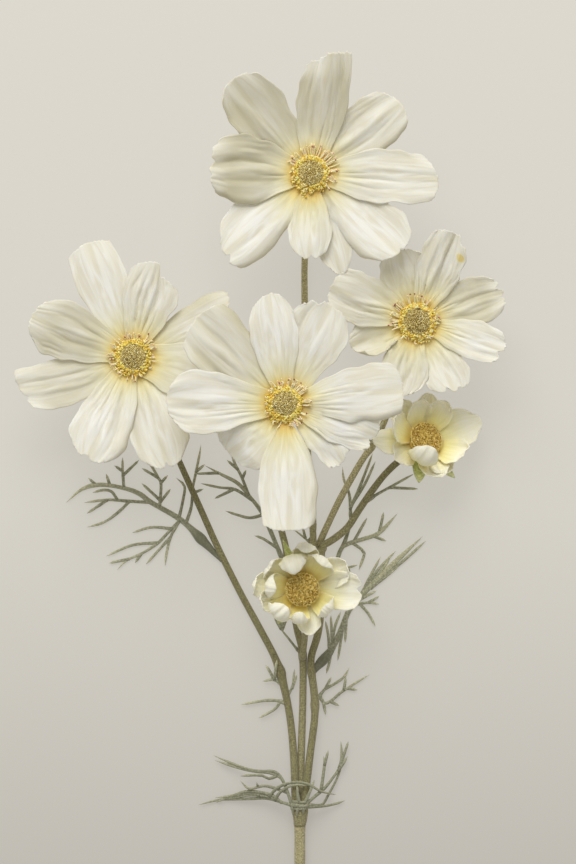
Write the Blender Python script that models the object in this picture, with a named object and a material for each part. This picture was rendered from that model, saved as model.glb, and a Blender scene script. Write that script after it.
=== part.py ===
"""Artificial cosmos spray: one branched stem with four open blooms and two half-open ones.

The spray lies on its back on a table, faces up. Sizes below are millimetres, and every
mesh is built in metres. Across the spray is X, the stem runs along +Y, and Z is up.
"""
import math

import bmesh
import bpy
from mathutils import Vector

MM = 0.001
GAP = 0.3            # clearance between pieces that touch

# Stems: plastic over wire, thinner from fork to fork
MAIN_STEM_R = 1.8
BRANCH_R = 1.35
BLOOM_STEM_R = 1.2
STEM_STEP = 6.0      # spacing of a tube's rings
COLLAR_START = 38.5  # the lower collar, measured from the cut end
COLLAR_LENGTH = 7.0
COLLAR_FOOT_R = 2.5
COLLAR_R = 3.1
COLLAR_HEIGHT = 3.2  # height of its axis over the table

# Leaf threads: side threads start thinner than the stalk
THREAD_R = 0.55
THREAD_TIP_R = 0.30
STALK_TIP_R = 0.35
SETTLE = 9.0         # how far from the stem a leaf has sunk to where it lies

# Blooms
HUB_R = 4.4          # pressed middle of a petal layer
PETAL_THICK = 0.5
FREE_R = 13.0        # beyond this radius a petal lifts and curls on its own
LAYER_STEP = 1.0     # from the back petal layer up to the front one
CALYX_DEPTH = 7.0
BUTTON_R = 4.7
BUTTON_HEIGHT = 3.6
STAMEN_INNER_R = 5.2
STAMEN_OUTER_R = 8.6

# Half-open blooms
BUD_HUB_R = 5.0
BUD_DISC_R = 4.6
BUD_DISC_HEIGHT = 3.4
BUD_SHARE = 0.9      # how much of its share of the circle a short petal may fill

# Petal rows: (angle from +X, length from the middle, width, lift of the tip, curl of the edges)
BLOOMS = {
    "top": {
        "at": (4.0, 273.6, 31.0),
        "front": [(-3, 45, 16.5, 2, 1), (83, 44, 18, 3, 1.5), (179, 36, 20, 1, 1.5), (-90, 31, 14, 1, 1)],
        "back": [(35, 39.5, 16, 0, -2), (130, 43, 21.5, 0, -1), (-137, 42.5, 21, -1, -1.5),
                 (-40, 42, 20, -2, -2)],
    },
    "left": {
        "at": (-60.1, 207.7, 25.0),
        "front": [(68, 35, 18, 3, 1), (-8, 36, 17, 0, 0), (-113, 41, 18.5, 1, 1), (157, 39.5, 20, 2, 1)],
        "back": [(110, 44, 17, 0, -1), (33, 38, 16, -1, 0), (-75, 41, 18, 0, -1.5), (-166, 42, 17, 0, -1)],
    },
    "front": {
        "at": (-5.4, 190.8, 40.0),
        "front": [(99, 38.5, 15.5, 2, 1), (9, 42, 18, 2, 0.5), (-88, 45.5, 20, 0, 0.5), (180, 38, 20, 2, 1)],
        "back": [(68, 39, 21.5, 0, -1), (-22, 34, 16, -1, -1), (-131, 27.5, 18, -9, -1),
                 (128, 47, 21.6, 0, -1)],
    },
    "right": {
        "at": (42.1, 220.3, 25.0),
        "front": [(70, 34, 15, 2, 1), (-16, 32, 11, 1, 0.5), (-99, 27, 12, -1, 0.5), (162, 32, 16, 2, 1)],
        "back": [(105, 26, 15, -2, -1), (16, 32, 15.5, 0, -1), (-64, 27, 15, -2, -1),
                 (-164, 24, 12, -1, -1)],
    },
}

# Half-open blooms: rows of short petals (angle, reach, width, height of the tip)
BUDS = {
    "side": {
        "at": (44.3, 177.1, 15.0), "lean": 30, "toward": 45,
        "outer": [(15, 19, 14, 7), (75, 18, 14, 7), (135, 17, 14, 8), (195, 17, 13, 8),
                  (255, 16, 14, 8), (315, 18, 13, 8)],
        "inner": [(45, 12.5, 10, 7.5), (117, 12, 10, 7.5), (189, 11.5, 10, 7.5), (261, 10.5, 10, 8),
                  (333, 12, 9, 7.5)],
        "sepals": [(0, 14, 6, 0), (72, 13, 6, 0), (144, 13, 6, 0), (216, 15, 6, 0), (288, 15, 6, 0)],
    },
    "low": {
        "at": (1.1, 123.8, 24.0), "lean": 8, "toward": 270,
        "outer": [(5, 21, 14, 6), (55, 18, 13, 7), (105, 17, 13, 7), (155, 19, 13, 6),
                  (205, 20, 13, 6), (255, 17, 13, 7), (305, 19, 13, 6)],
        "inner": [(35, 13, 10, 7.5), (95, 13, 10, 8), (155, 13, 10, 7.5), (215, 12.5, 10, 8),
                  (275, 12.5, 10, 8), (335, 13.5, 10, 7)],
        "sepals": [(20, 14, 6, 0), (92, 13, 6, 0), (164, 13, 6, 0), (236, 15, 6, 0), (308, 14, 6, 0)],
    },
}

# Stem routes, end to end (x, y, height)
STEMS = {
    "left_stem": (BRANCH_R, 1.15, [
        (-1.6, 45.8, 4.1), (-2.2, 62.5, 3.4), (-3.6, 77, 2.7), (-6.1, 89.5, 2.1), (-9, 98.5, 1.7),
        (-15, 110, 1.5), (-21.5, 122, 1.5), (-29.5, 138, 1.8), (-36, 152.5, 3.0), (-44, 170.5, 5.5),
        (-52.5, 190, 9.5), (-58.5, 203, 12.5), (-60.1, 207.2, 14.8), (-60.1, 207.7, 17.2)]),
    "centre_stem": (BRANCH_R, 1.15, [
        (0, 45.8, 1.5), (0.7, 70, 1.6), (1.1, 84, 1.6), (1.0, 100, 1.6), (-1.1, 109.5, 1.6),
        (-3.6, 124, 1.8), (-5, 138, 2.6), (-6.8, 146, 4.5), (-7, 156, 9), (-6.4, 170, 17),
        (-5.6, 183, 24), (-5.4, 190.2, 29), (-5.4, 190.8, 32.2)]),
    "right_stem": (BRANCH_R, 1.3, [
        (1.6, 45.8, 4.1), (3.6, 62.5, 3.6), (5.4, 77, 3.0), (5.2, 86, 2.4), (4.1, 94.5, 2.0),
        (4.3, 99.5, 2.0), (6.5, 107, 2.0), (7.6, 115.5, 2.2), (7.4, 124, 2.7), (6.8, 130.6, 3.2)]),
    "top_bloom_stem": (1.2, 1.1, [
        (5.0, 137.9, 4.4), (4.7, 145.5, 3.8), (2.9, 174, 1.7), (1.8, 226.5, 1.35), (1.8, 243.5, 3.0),
        (2.8, 256, 8), (3.8, 268, 15), (4.0, 273, 20), (4.0, 273.6, 23.2)]),
    "right_bloom_stem": (1.2, 1.1, [
        (6.6, 138.1, 1.8), (6.9, 139.5, 1.9), (9, 144.5, 2.6), (13.7, 154.5, 3.7), (18, 162.5, 4.6),
        (22.3, 170, 5.8), (26, 175.5, 7.0), (30, 183, 8.8), (36, 200, 11.2), (41, 215.5, 12.8),
        (42.1, 219.8, 14.9), (42.1, 220.3, 17.2)]),
    "side_bud_stem": (1.3, 1.2, [
        (8.2, 138.3, 4.4), (8.4, 139.4, 4.4), (12.6, 142, 4.2), (17.3, 146, 4.0), (21.6, 152.5, 4.2),
        (26, 159, 4.8), (30.6, 165, 5.6), (35.3, 169.6, 5.6), (39.2, 172.1, 6.0),
        (40.95, 173.75, 7.0), (41.58, 174.38, 8.35)]),
    "low_bud_stem": (1.1, 1.1, [
        (1.2, 100.5, 4.5), (1.8, 106, 7), (2.1, 113, 9.5), (1.9, 120, 11.5), (1.7, 124.6, 14.4),
        (1.4, 124.7, 16.2)]),
}

# Leaf sprigs: (stalk radius, height at the stem, height where it lies, threads).
# The first thread is the stalk; a point with three numbers gives its own height.
SPRIGS = {
    "left_leaf": (1.1, 1.8, 0.75, [
        [(-32.3, 137.9), (-43, 148.5), (-54, 155), (-58, 158), (-63, 160), (-72, 161.5), (-79, 160),
         (-85, 155)],
        [(-54, 155), (-62, 155.5), (-70, 156), (-78.5, 155)],
        [(-70, 156), (-77.5, 151)],
        [(-62, 155.5), (-65.5, 152), (-71, 148), (-77.5, 146)],
        [(-64, 160.3), (-64.5, 167), (-64.5, 171.5)],
        [(-64.2, 165), (-58.5, 170.5)],
        [(-64.5, 166.5), (-67.5, 168.5)],
        [(-69, 161), (-70.5, 165.5)],
        [(-74, 161.3), (-77, 164)],
        [(-51, 153.3), (-50.5, 161.5), (-51.5, 164), (-54.5, 169), (-57, 170.5)],
        [(-51.5, 164), (-57.5, 167.5)],
        [(-50.7, 162), (-48, 165)],
        [(-51, 156), (-57.5, 162)],
        [(-50.9, 155), (-47, 160)],
        [(-44, 149.2), (-42.5, 156), (-42, 161), (-45, 164)],
        [(-41.5, 147.3), (-39.5, 153.5), (-39, 160), (-38, 165), (-36.5, 172.5), (-36, 176)],
        [(-38.8, 158.5), (-35, 160)],
        [(-38, 166), (-34.5, 169)],
        [(-43.5, 148.7), (-48.5, 143.5), (-52, 140), (-57.5, 136.5), (-63, 134), (-66.5, 130.5)],
        [(-51.5, 140.4), (-61, 139.5), (-70.5, 135.5)],
        [(-46.5, 145.5), (-54, 146), (-61, 144)],
        [(-62, 134.5), (-69.5, 133)],
        [(-57.7, 136.3), (-60, 133)],
        [(-44, 148), (-47, 142.5), (-48.5, 136.5), (-49, 132)],
        [(-47, 142.5), (-52, 137), (-56, 132.5)],
    ]),
    "middle_leaf": (0.8, 2.8, 3.4, [
        [(-6.9, 136), (-11, 145.5), (-13.5, 151), (-18, 157), (-22.5, 162), (-28, 165), (-34.5, 168.5)],
        [(-29.5, 165.8), (-38, 165.5)],
        [(-17, 155.7), (-23.5, 159.8), (-29, 160.5), (-36, 162)],
        [(-24, 159.9), (-31, 156.5)],
        [(-13.3, 150.6), (-18, 149.5), (-22.5, 150.5), (-27, 152)],
        [(-18.5, 157.5), (-21, 164), (-23, 168), (-25, 172.5)],
        [(-22.4, 167), (-26.5, 170.5)],
        [(-20.9, 163.8), (-19.5, 167)],
        [(-8, 138.4), (-13.5, 142), (-16.5, 143)],
    ]),
    "inner_leaf": (0.6, 4.0, 1.5, [
        [(18.2, 151.8), (18, 158), (16, 163.5), (15.5, 168)],
        [(18.2, 152.5), (21.5, 160), (25, 169), (26.5, 173)],
        [(19.3, 155), (23.5, 161.5), (27.5, 170)],
    ]),
    "side_leaf": (0.6, 4.2, 3.0, [
        [(27.5, 157.5), (32.5, 160.5), (41.5, 165.5)],
        [(32.5, 160.5), (43, 160)],
    ]),
    "right_leaf": (0.9, 2.2, 0.75, [
        [(9.4, 124.6), (13.3, 133.5), (15, 138), (17.5, 140), (27, 143), (30.5, 145.5), (35.5, 151)],
        [(29, 144.4), (30.5, 151.5)],
        [(26.5, 142.9), (31.5, 141)],
        [(19.5, 140.6), (22.5, 146), (24.5, 149.5)],
        [(19, 140.4), (22.5, 138), (23.5, 136.5), (21.5, 130.5)],
        [(16, 138.8), (18.5, 147), (20.3, 151)],
        [(12, 130.6), (16, 131), (21, 132.3)],
        [(17.5, 131.3), (18.5, 127.5)],
    ]),
    "low_right_leaf": (1.2, 2.2, 0.8, [
        [(6.5, 94.7), (11, 100.5), (14.5, 107.5), (18, 116), (21.5, 120), (25, 124), (30.5, 129),
         (36, 134), (45.5, 142)],
        [(21.8, 120.4), (25, 127), (29.5, 135.5)],
        [(23.5, 122.3), (28, 130), (35, 137.5)],
        [(20.5, 119), (28, 123)],
        [(19.5, 117.8), (25, 118.6), (29, 118)],
        [(25, 118.6), (29, 121)],
        [(22, 118), (25, 114.5), (27.5, 110)],
        [(11.3, 101), (12.7, 109.5), (15, 115.5)],
        [(10.8, 100.3), (10.3, 107), (9.3, 112)],
        [(11.8, 104), (11.3, 114)],
        [(15.8, 110.5), (14.8, 104), (13.8, 97.5)],
        [(17, 113.5), (16.5, 104)],
        [(11.2, 101), (10.8, 97), (9.6, 92.8)],
    ]),
    "right_stem_leaf": (0.6, 2.3, 0.7, [
        [(7.25, 84.4), (9, 87), (12.5, 89), (16, 91.5), (18, 95)],
        [(7.45, 84.5), (8.9, 82), (11.5, 83), (15, 86), (17.5, 87.5), (20.5, 89.5), (25.5, 92.5)],
        [(16, 86.6), (16.8, 91.8)],
        [(11, 82.7), (14.5, 81)],
        [(17.3, 87.4), (21, 86.8)],
        [(8.6, 82.3), (9.4, 77.8)],
        [(9.2, 87.1), (11.5, 91.6)],
    ]),
    "left_stem_leaf": (0.6, 2.3, 0.7, [
        [(-6.9, 82.8), (-12.5, 83), (-21.5, 81.5)],
        [(-7.2, 82.8), (-9, 80), (-15, 76.5)],
    ]),
    "left_stem_upper_leaf": (0.6, 2.2, 0.9, [
        [(-8.7, 90.2), (-10.2, 90.6), (-13.5, 90)],
        [(-9.4, 90.5), (-10.6, 93), (-12.4, 96)],
        [(-9.2, 90.4, 2.2), (-9.0, 93.0, 4.0), (-8.3, 98, 4.2)],
    ]),
    "between_stems_leaf": (0.5, 2.3, 1.4, [
        [(-3.3, 86.4), (-2.5, 89), (-1.9, 94.5)],
        [(-2.9, 87.2), (-1.0, 92.5)],
    ]),
    "collar_leaf": (0.8, 7.2, 0.7, [
        [(-3.5, 45.3, 6.8), (0, 45, 7.4), (3.5, 45.3, 6.8)],
        [(-3, 45.2, 6.9), (-7, 46, 5.6), (-12.5, 47.5, 3.6), (-21.5, 48, 1.4), (-29, 47, 0.7),
         (-37, 45, 0.7)],
        [(-6.5, 46, 5.7), (-12.5, 49.5, 4.4), (-20, 49.5, 2.8), (-30.5, 49, 2.0)],
        [(-4.0, 45.4, 6.7), (-5.3, 50, 6.2), (-7, 56, 5.6), (-10, 57, 5.0), (-18, 58.5, 3.6),
         (-24.5, 60, 2.4), (-31.5, 62.5, 1.2)],
        [(-5.2, 49.5, 6.2), (-10, 52, 5.2), (-16, 51, 4.2), (-21.5, 54, 3.6)],
        [(-8.5, 56.6, 5.3), (-13.5, 55.3, 4.6), (-21, 56, 3.4)],
        [(3, 45.2, 6.9), (9, 44.5, 4.0), (16, 46, 0.8)],
        [(3.2, 45.3, 6.9), (7, 49, 4.8), (11, 52, 3.4), (14.5, 56, 2.2), (16, 60, 1.6), (17.5, 64, 1.2)],
        [(15.8, 59.4, 1.7), (18.6, 68, 1.4)],
        [(15.5, 58.7, 1.8), (15, 68, 2.4)],
        [(7.5, 49.3, 4.6), (9.5, 57, 3.2), (10.5, 64.5, 2.6)],
        [(-5.3, 50, 6.2), (-1, 53.5, 6.9), (4.5, 52, 6.6), (9, 51, 3.9)],
    ]),
    "upper_collar_leaf": (0.45, 1.9, 0.8, [
        [(4.35, 138.0), (3, 141), (-2.5, 145.5)],
        [(2, 142), (1, 146.5)],
        [(3.1, 141), (5.4, 144.5, 0.75), (5.6, 151, 0.7)],
    ]),
    "right_bloom_leaf": (0.5, 9.6, 9.2, [
        [(20, 178.6, 9.2), (27, 177, 9.6), (33, 174, 8.8)],
        [(26.8, 177, 9.6), (30.5, 185, 11.4)],
    ]),
    "low_bud_bract": (0.45, 2.0, 2.0, [
        [(-0.9, 101.5, 2.0), (-4, 105.5, 3.2), (-7.2, 109.5, 5.0)],
    ]),
}


def clear_scene():
    for old in list(bpy.data.objects):
        bpy.data.objects.remove(old)


def finish_of(name, colour, roughness):
    """A Principled material in the piece's own colour."""
    material = bpy.data.materials.new(name)
    material.use_nodes = True
    shader = material.node_tree.nodes["Principled BSDF"]
    shader.inputs["Base Color"].default_value = (*colour, 1.0)
    shader.inputs["Roughness"].default_value = roughness
    shader.inputs["Metallic"].default_value = 0.0
    return material


def place(name, mesh, parent, material):
    """A named piece with its own material, under its bloom or the whole spray."""
    piece = bpy.data.objects.new(name, mesh)
    bpy.context.scene.collection.objects.link(piece)
    piece.data.materials.append(material)
    piece.parent = parent
    return piece


def empty(name, parent=None):
    holder = bpy.data.objects.new(name, None)
    bpy.context.scene.collection.objects.link(holder)
    holder.parent = parent
    return holder


def mesh_from(name, bm):
    mesh = bpy.data.meshes.new(name)
    bm.to_mesh(mesh)
    bm.free()
    mesh.shade_smooth()
    return mesh


# ---------------------------------------------------------------- stems and leaves

def smooth_route(points, step):
    """Points about one step apart on a smooth curve through the route's own points."""
    knots = [Vector(p) for p in points]
    knots = [2 * knots[0] - knots[1]] + knots + [2 * knots[-1] - knots[-2]]
    route = []
    for before, start, end, after in zip(knots, knots[1:], knots[2:], knots[3:]):
        pieces = max(1, round((end - start).length / step))
        for i in range(pieces):
            t = i / pieces
            route.append(0.5 * (2 * start + (end - before) * t
                                + (2 * before - 5 * start + 4 * end - after) * t ** 2
                                + (3 * start - before - 3 * end + after) * t ** 3))
    route.append(knots[-2])
    return route


def tube_curve(name, route, first_r, last_r, resolution):
    """A capped round tube that tapers evenly from end to end."""
    curve = bpy.data.curves.new(name, "CURVE")
    curve.dimensions = "3D"
    curve.bevel_depth = MM
    curve.bevel_resolution = resolution
    curve.use_fill_caps = True
    curve.render_resolution_u = 0
    spline = curve.splines.new("POLY")
    spline.points.add(len(route) - 1)
    for i, spot in enumerate(route):
        spline.points[i].co = (*(spot * MM), 1.0)
        spline.points[i].radius = first_r + (last_r - first_r) * i / (len(route) - 1)
    return curve


def thread_heights(thread, root, at_stem, lying):
    """A leaf thread sinks from the stem to where it lies, unless its points say more."""
    for spot in thread:
        if len(spot) == 3:
            yield Vector(spot)
            continue
        away = (Vector(spot) - Vector(root[:2])).length
        yield Vector((spot[0], spot[1], lying + (at_stem - lying) * math.exp(-away / SETTLE)))


def thread_mesh(name, thread, first_r, last_r):
    """One thread as a square-sided tube."""
    curve = tube_curve(name, list(thread), first_r, last_r, 0)
    guide = bpy.data.objects.new(name, curve)
    bpy.context.scene.collection.objects.link(guide)
    sight = bpy.context.evaluated_depsgraph_get()
    mesh = bpy.data.meshes.new_from_object(guide.evaluated_get(sight))
    bpy.data.objects.remove(guide)
    bm = bmesh.new()
    bm.from_mesh(mesh)
    bmesh.ops.remove_doubles(bm, verts=bm.verts, dist=0.001 * MM)
    bmesh.ops.recalc_face_normals(bm, faces=bm.faces)
    return mesh_from(name, bm)


def sprig(name, spray, material):
    """A moulded leaf: threads grown together, united into one body."""
    stalk_r, at_stem, lying, threads = SPRIGS[name]
    root = threads[0][0]
    stalk = thread_mesh(name, thread_heights(threads[0], root, at_stem, lying), stalk_r, STALK_TIP_R)
    leaf = place(name, stalk, spray, material)
    if len(threads) == 1:
        return leaf
    bm = bmesh.new()
    for thread in threads[1:]:
        part = thread_mesh("thread", thread_heights(thread, root, at_stem, lying), THREAD_R, THREAD_TIP_R)
        bm.from_mesh(part)
    rest = mesh_from(name + "_threads", bm)
    cutter = place(name + "_threads", rest, spray, material)
    cutter.hide_render = True
    cutter.display_type = "WIRE"
    union = leaf.modifiers.new("grown_together", "BOOLEAN")
    union.operation = "UNION"
    union.object = cutter
    union.use_self = True
    return leaf


# ---------------------------------------------------------------- blooms

def turned(name, profile, sides):
    """A round piece turned about its axis from (radius, height) points."""
    closed = profile[0][0] > 0
    bm = bmesh.new()
    dots = [bm.verts.new((r * MM, 0, z * MM)) for r, z in profile]
    edges = [bm.edges.new(pair) for pair in zip(dots, dots[1:])]
    if closed:
        edges.append(bm.edges.new((dots[-1], dots[0])))
    bmesh.ops.spin(bm, geom=dots + edges, cent=(0, 0, 0), axis=(0, 0, 1), angle=2 * math.pi,
                   steps=sides, use_merge=True)
    bmesh.ops.remove_doubles(bm, verts=bm.verts, dist=0.01 * MM)
    bmesh.ops.recalc_face_normals(bm, faces=bm.faces)
    return mesh_from(name, bm)


def bowl(radius):
    """Height of an open bloom's petals: up from the hub, then easing over."""
    reach = max(0.0, radius - HUB_R)
    return 0.20 * reach - 0.0028 * reach ** 2


def petal_spread(t):
    """Share of a petal's full width at t along it: narrow foot, full belly, blunt tip."""
    if t < 0.65:
        return 0.40 + 0.60 * math.sin(0.5 * math.pi * t / 0.65) ** 1.3
    return 1.0 - 0.42 * ((t - 0.65) / 0.35) ** 2.4


def open_petal(petal):
    """Surface of an open bloom's petal: t along it, s across it from -1 to 1."""
    _, length, width, lift, curl = petal

    def surface(t, s):
        run = HUB_R + (length - HUB_R) * t * (1 - 0.09 * s * s * t ** 3)
        side = s * 0.5 * width * petal_spread(t)
        away = math.hypot(run, side)
        free = max(0.0, (run - FREE_R) / (length - FREE_R))
        height = bowl(away) + lift * free ** 1.3 + curl * s * s * min(1, 1.2 * free)
        return run, side, height
    return surface


def bud_petal(petal, inward, share):
    """Surface of a half-open bloom's petal, which rises and may turn in over the disc.

    It fills at most its share of the circle, so that neighbours stand clear of each other.
    """
    _, reach, width, height = petal
    sweep = math.radians(inward)

    def surface(t, s):
        turn = sweep * t
        run = BUD_HUB_R + (reach - BUD_HUB_R) * math.sin(turn) / math.sin(min(sweep, math.pi / 2))
        rise = height * (1 - math.cos(turn)) / (1 - math.cos(sweep))
        spread = 0.5 + 0.5 * math.sin(0.5 * math.pi * min(1, t / 0.6))
        half = 0.5 * width * spread * (1 - 0.4 * max(0, (t - 0.6) / 0.4) ** 2)
        side = s * min(half, share * run)
        return run - 0.06 * side * side / reach, side, rise + 0.8 * s * s * t
    return surface


def petal_layer(name, petals, surface_of, hub_r, across, along):
    """Petals cut in one piece with their hub: rows of edges drawn out from a hub disc."""
    petals = sorted(petals, key=lambda petal: petal[0] % 360)
    count = len(petals)
    angles = [math.radians(petal[0] % 360) for petal in petals]
    bm = bmesh.new()
    ring = bmesh.ops.create_circle(bm, cap_ends=True, radius=hub_r * MM, segments=count * across)
    hub = ring["verts"]
    for i in range(count):
        before = angles[i - 1] - (2 * math.pi if i == 0 else 0)
        after = angles[(i + 1) % count] + (2 * math.pi if i == count - 1 else 0)
        low, high = 0.5 * (before + angles[i]), 0.5 * (angles[i] + after)
        for k in range(across):
            turn = low + (high - low) * k / across
            hub[i * across + k].co = (hub_r * MM * math.cos(turn), hub_r * MM * math.sin(turn), 0)
    for i, petal in enumerate(petals):
        row = [hub[(i * across + k) % len(hub)] for k in range(across + 1)]
        surface = surface_of(petal)
        for j in range(1, along + 1):
            edges = [bm.edges.get(pair) for pair in zip(row, row[1:])]
            drawn = bmesh.ops.extrude_edge_only(bm, edges=edges)["geom"]
            fresh = [item for item in drawn if isinstance(item, bmesh.types.BMVert)]
            row = in_step(row, fresh)
            for k, dot in enumerate(row):
                run, side, height = surface(j / along, 2 * k / across - 1)
                cos, sin = math.cos(angles[i]), math.sin(angles[i])
                dot.co = (MM * (run * cos - side * sin), MM * (run * sin + side * cos), MM * height)
    bmesh.ops.recalc_face_normals(bm, faces=bm.faces)
    middle = min(bm.faces, key=lambda face: face.calc_center_median().length)
    if middle.normal.z < 0:
        bmesh.ops.reverse_faces(bm, faces=bm.faces)
    return mesh_from(name, bm)


def in_step(row, fresh):
    """The drawn-out points, in the order of the row they came from."""
    following = []
    for dot in row:
        following.append(next(edge.other_vert(dot) for edge in dot.link_edges
                              if edge.other_vert(dot) in fresh))
    return following


def thicken(piece, thick):
    """Gives a layer its sheet thickness, upward from its modelled underside."""
    sheet = piece.modifiers.new("sheet", "SOLIDIFY")
    sheet.thickness = thick * MM
    sheet.offset = 1.0
    sheet.use_even_offset = False
    return piece


def open_bloom(name, spray, finishes):
    """Calyx, two crossed petal layers, stamens and the domed button, on the bloom's own axis."""
    bloom = BLOOMS[name]
    head = empty(name + "_bloom", spray)
    head.location = Vector(bloom["at"]) * MM

    calyx = [(0, -GAP - CALYX_DEPTH), (1.6, -GAP - CALYX_DEPTH), (2.0, -GAP - 5), (3.4, -GAP - 2.5),
             (3.9, -GAP), (0, -GAP)]
    place(name + "_calyx", turned(name + "_calyx", calyx, 12), head, finishes["green"])

    back = petal_layer(name + "_petals_back", bloom["back"], open_petal, HUB_R, 4, 6)
    thicken(place(name + "_petals_back", back, head, finishes["petal"]), PETAL_THICK)
    front = petal_layer(name + "_petals_front", bloom["front"], open_petal, HUB_R, 4, 6)
    upper = place(name + "_petals_front", front, head, finishes["petal"])
    upper.location.z = LAYER_STEP * MM
    thicken(upper, PETAL_THICK)

    seat = LAYER_STEP + PETAL_THICK + GAP
    dome = [(0, seat), (BUTTON_R, seat)]
    for i in range(1, 4):
        turn = math.radians(90 * i / 4)
        dome.append((BUTTON_R * math.cos(turn), seat + 0.6 + (BUTTON_HEIGHT - 0.6) * math.sin(turn)))
    dome.append((0, seat + BUTTON_HEIGHT))
    place(name + "_button", turned(name + "_button", dome, 14), head, finishes["button"])

    inner, outer = STAMEN_INNER_R, STAMEN_OUTER_R
    under = seat + 0.3
    crown = [(inner, under + bowl(inner)), (outer, under + bowl(outer)),
             (outer, under + bowl(outer) + 1.6), (inner + 0.8, under + 1.4)]
    place(name + "_stamens", turned(name + "_stamens", crown, 20), head, finishes["stamen"])


def half_open_bloom(name, spray, finishes):
    """Calyx, sepals, two cups of short petals and the brown disc."""
    bud = BUDS[name]
    head = empty(name + "_bud", spray)
    head.location = Vector(bud["at"]) * MM
    head.rotation_mode = "AXIS_ANGLE"
    toward = math.radians(bud["toward"])
    head.rotation_axis_angle = (math.radians(bud["lean"]), -math.sin(toward), math.cos(toward), 0)

    calyx = [(0, -GAP - CALYX_DEPTH), (1.5, -GAP - CALYX_DEPTH), (2.0, -GAP - 5), (3.8, -GAP - 3.0),
             (4.6, -GAP - LAYER_STEP), (0, -GAP - LAYER_STEP)]
    place(name + "_bud_calyx", turned(name + "_bud_calyx", calyx, 12), head, finishes["green"])

    layers = [("sepals", 40, -LAYER_STEP, "green"), ("outer", 80, 0.0, "petal"),
              ("inner", 105, LAYER_STEP, "petal")]
    for layer, inward, height, finish in layers:
        share = BUD_SHARE * math.pi / len(bud[layer])

        def surface_of(petal, inward=inward, share=share):
            return bud_petal(petal, inward, share)
        label = f"{name}_bud_{layer}" if layer == "sepals" else f"{name}_bud_petals_{layer}"
        sheet = petal_layer(label, bud[layer], surface_of, BUD_HUB_R, 2, 5)
        piece = place(label, sheet, head, finishes[finish])
        piece.location.z = height * MM
        thicken(piece, PETAL_THICK)

    seat = LAYER_STEP + PETAL_THICK + GAP
    disc = [(0, seat), (BUD_DISC_R, seat), (BUD_DISC_R + 0.6, seat + 1.4), (BUD_DISC_R, seat + 2.6),
            (0.6 * BUD_DISC_R, seat + BUD_DISC_HEIGHT), (0, seat + BUD_DISC_HEIGHT)]
    place(name + "_bud_disc", turned(name + "_bud_disc", disc, 14), head, finishes["button"])


def lay_on_origin(spray):
    """Moves the spray so the middle of its box's underside is the origin."""
    sight = bpy.context.evaluated_depsgraph_get()
    low, high = Vector((1e9,) * 3), Vector((-1e9,) * 3)
    for piece in bpy.data.objects:
        if piece.type == "EMPTY" or piece.hide_render:
            continue
        seen = piece.evaluated_get(sight)
        mesh = seen.to_mesh()
        for dot in mesh.vertices:
            spot = seen.matrix_world @ dot.co
            low = Vector(map(min, low, spot))
            high = Vector(map(max, high, spot))
        seen.to_mesh_clear()
    spray.location -= Vector((0.5 * (low.x + high.x), 0.5 * (low.y + high.y), low.z))


def build():
    clear_scene()
    spray = empty("spray")
    finishes = {
        "petal": finish_of("petal_cloth", (0.84, 0.82, 0.74), 0.75),
        "button": finish_of("button_flock", (0.32, 0.24, 0.06), 0.9),
        "stamen": finish_of("stamen_yellow", (0.80, 0.55, 0.15), 0.8),
        "green": finish_of("calyx_green", (0.26, 0.30, 0.09), 0.7),
        "stem": finish_of("stem_olive", (0.19, 0.18, 0.08), 0.7),
        "leaf": finish_of("leaf_grey_green", (0.27, 0.27, 0.17), 0.75),
    }

    main = [Vector((0, 0, MAIN_STEM_R)), Vector((0, 20, 2.4)), Vector((0, COLLAR_START - GAP, COLLAR_HEIGHT))]
    place("main_stem", tube_curve("main_stem", main, MAIN_STEM_R, MAIN_STEM_R, 2), spray,
          finishes["stem"])
    collar = [Vector((0, COLLAR_START + COLLAR_LENGTH * t, COLLAR_HEIGHT)) for t in (0, 0.5, 1)]
    place("stem_collar", tube_curve("stem_collar", collar, COLLAR_FOOT_R, COLLAR_R, 2), spray,
          finishes["stem"])
    fork = [Vector((6.7, 131.2, 3.3)), Vector((6.6, 134.4, 3.4)), Vector((6.5, 137.6, 3.5))]
    place("upper_collar", tube_curve("upper_collar", fork, 2.2, 2.9, 2), spray, finishes["stem"])
    for name, (first_r, last_r, points) in STEMS.items():
        route = smooth_route(points, STEM_STEP)
        place(name, tube_curve(name, route, first_r, last_r, 1), spray, finishes["stem"])
    for name in SPRIGS:
        sprig(name, spray, finishes["leaf"])
    for name in BLOOMS:
        open_bloom(name, spray, finishes)
    for name in BUDS:
        half_open_bloom(name, spray, finishes)
    lay_on_origin(spray)


build()
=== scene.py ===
import math
import random

import bmesh
import bpy
from mathutils import Matrix, Vector, noise
from mathutils.bvhtree import BVHTree


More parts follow.
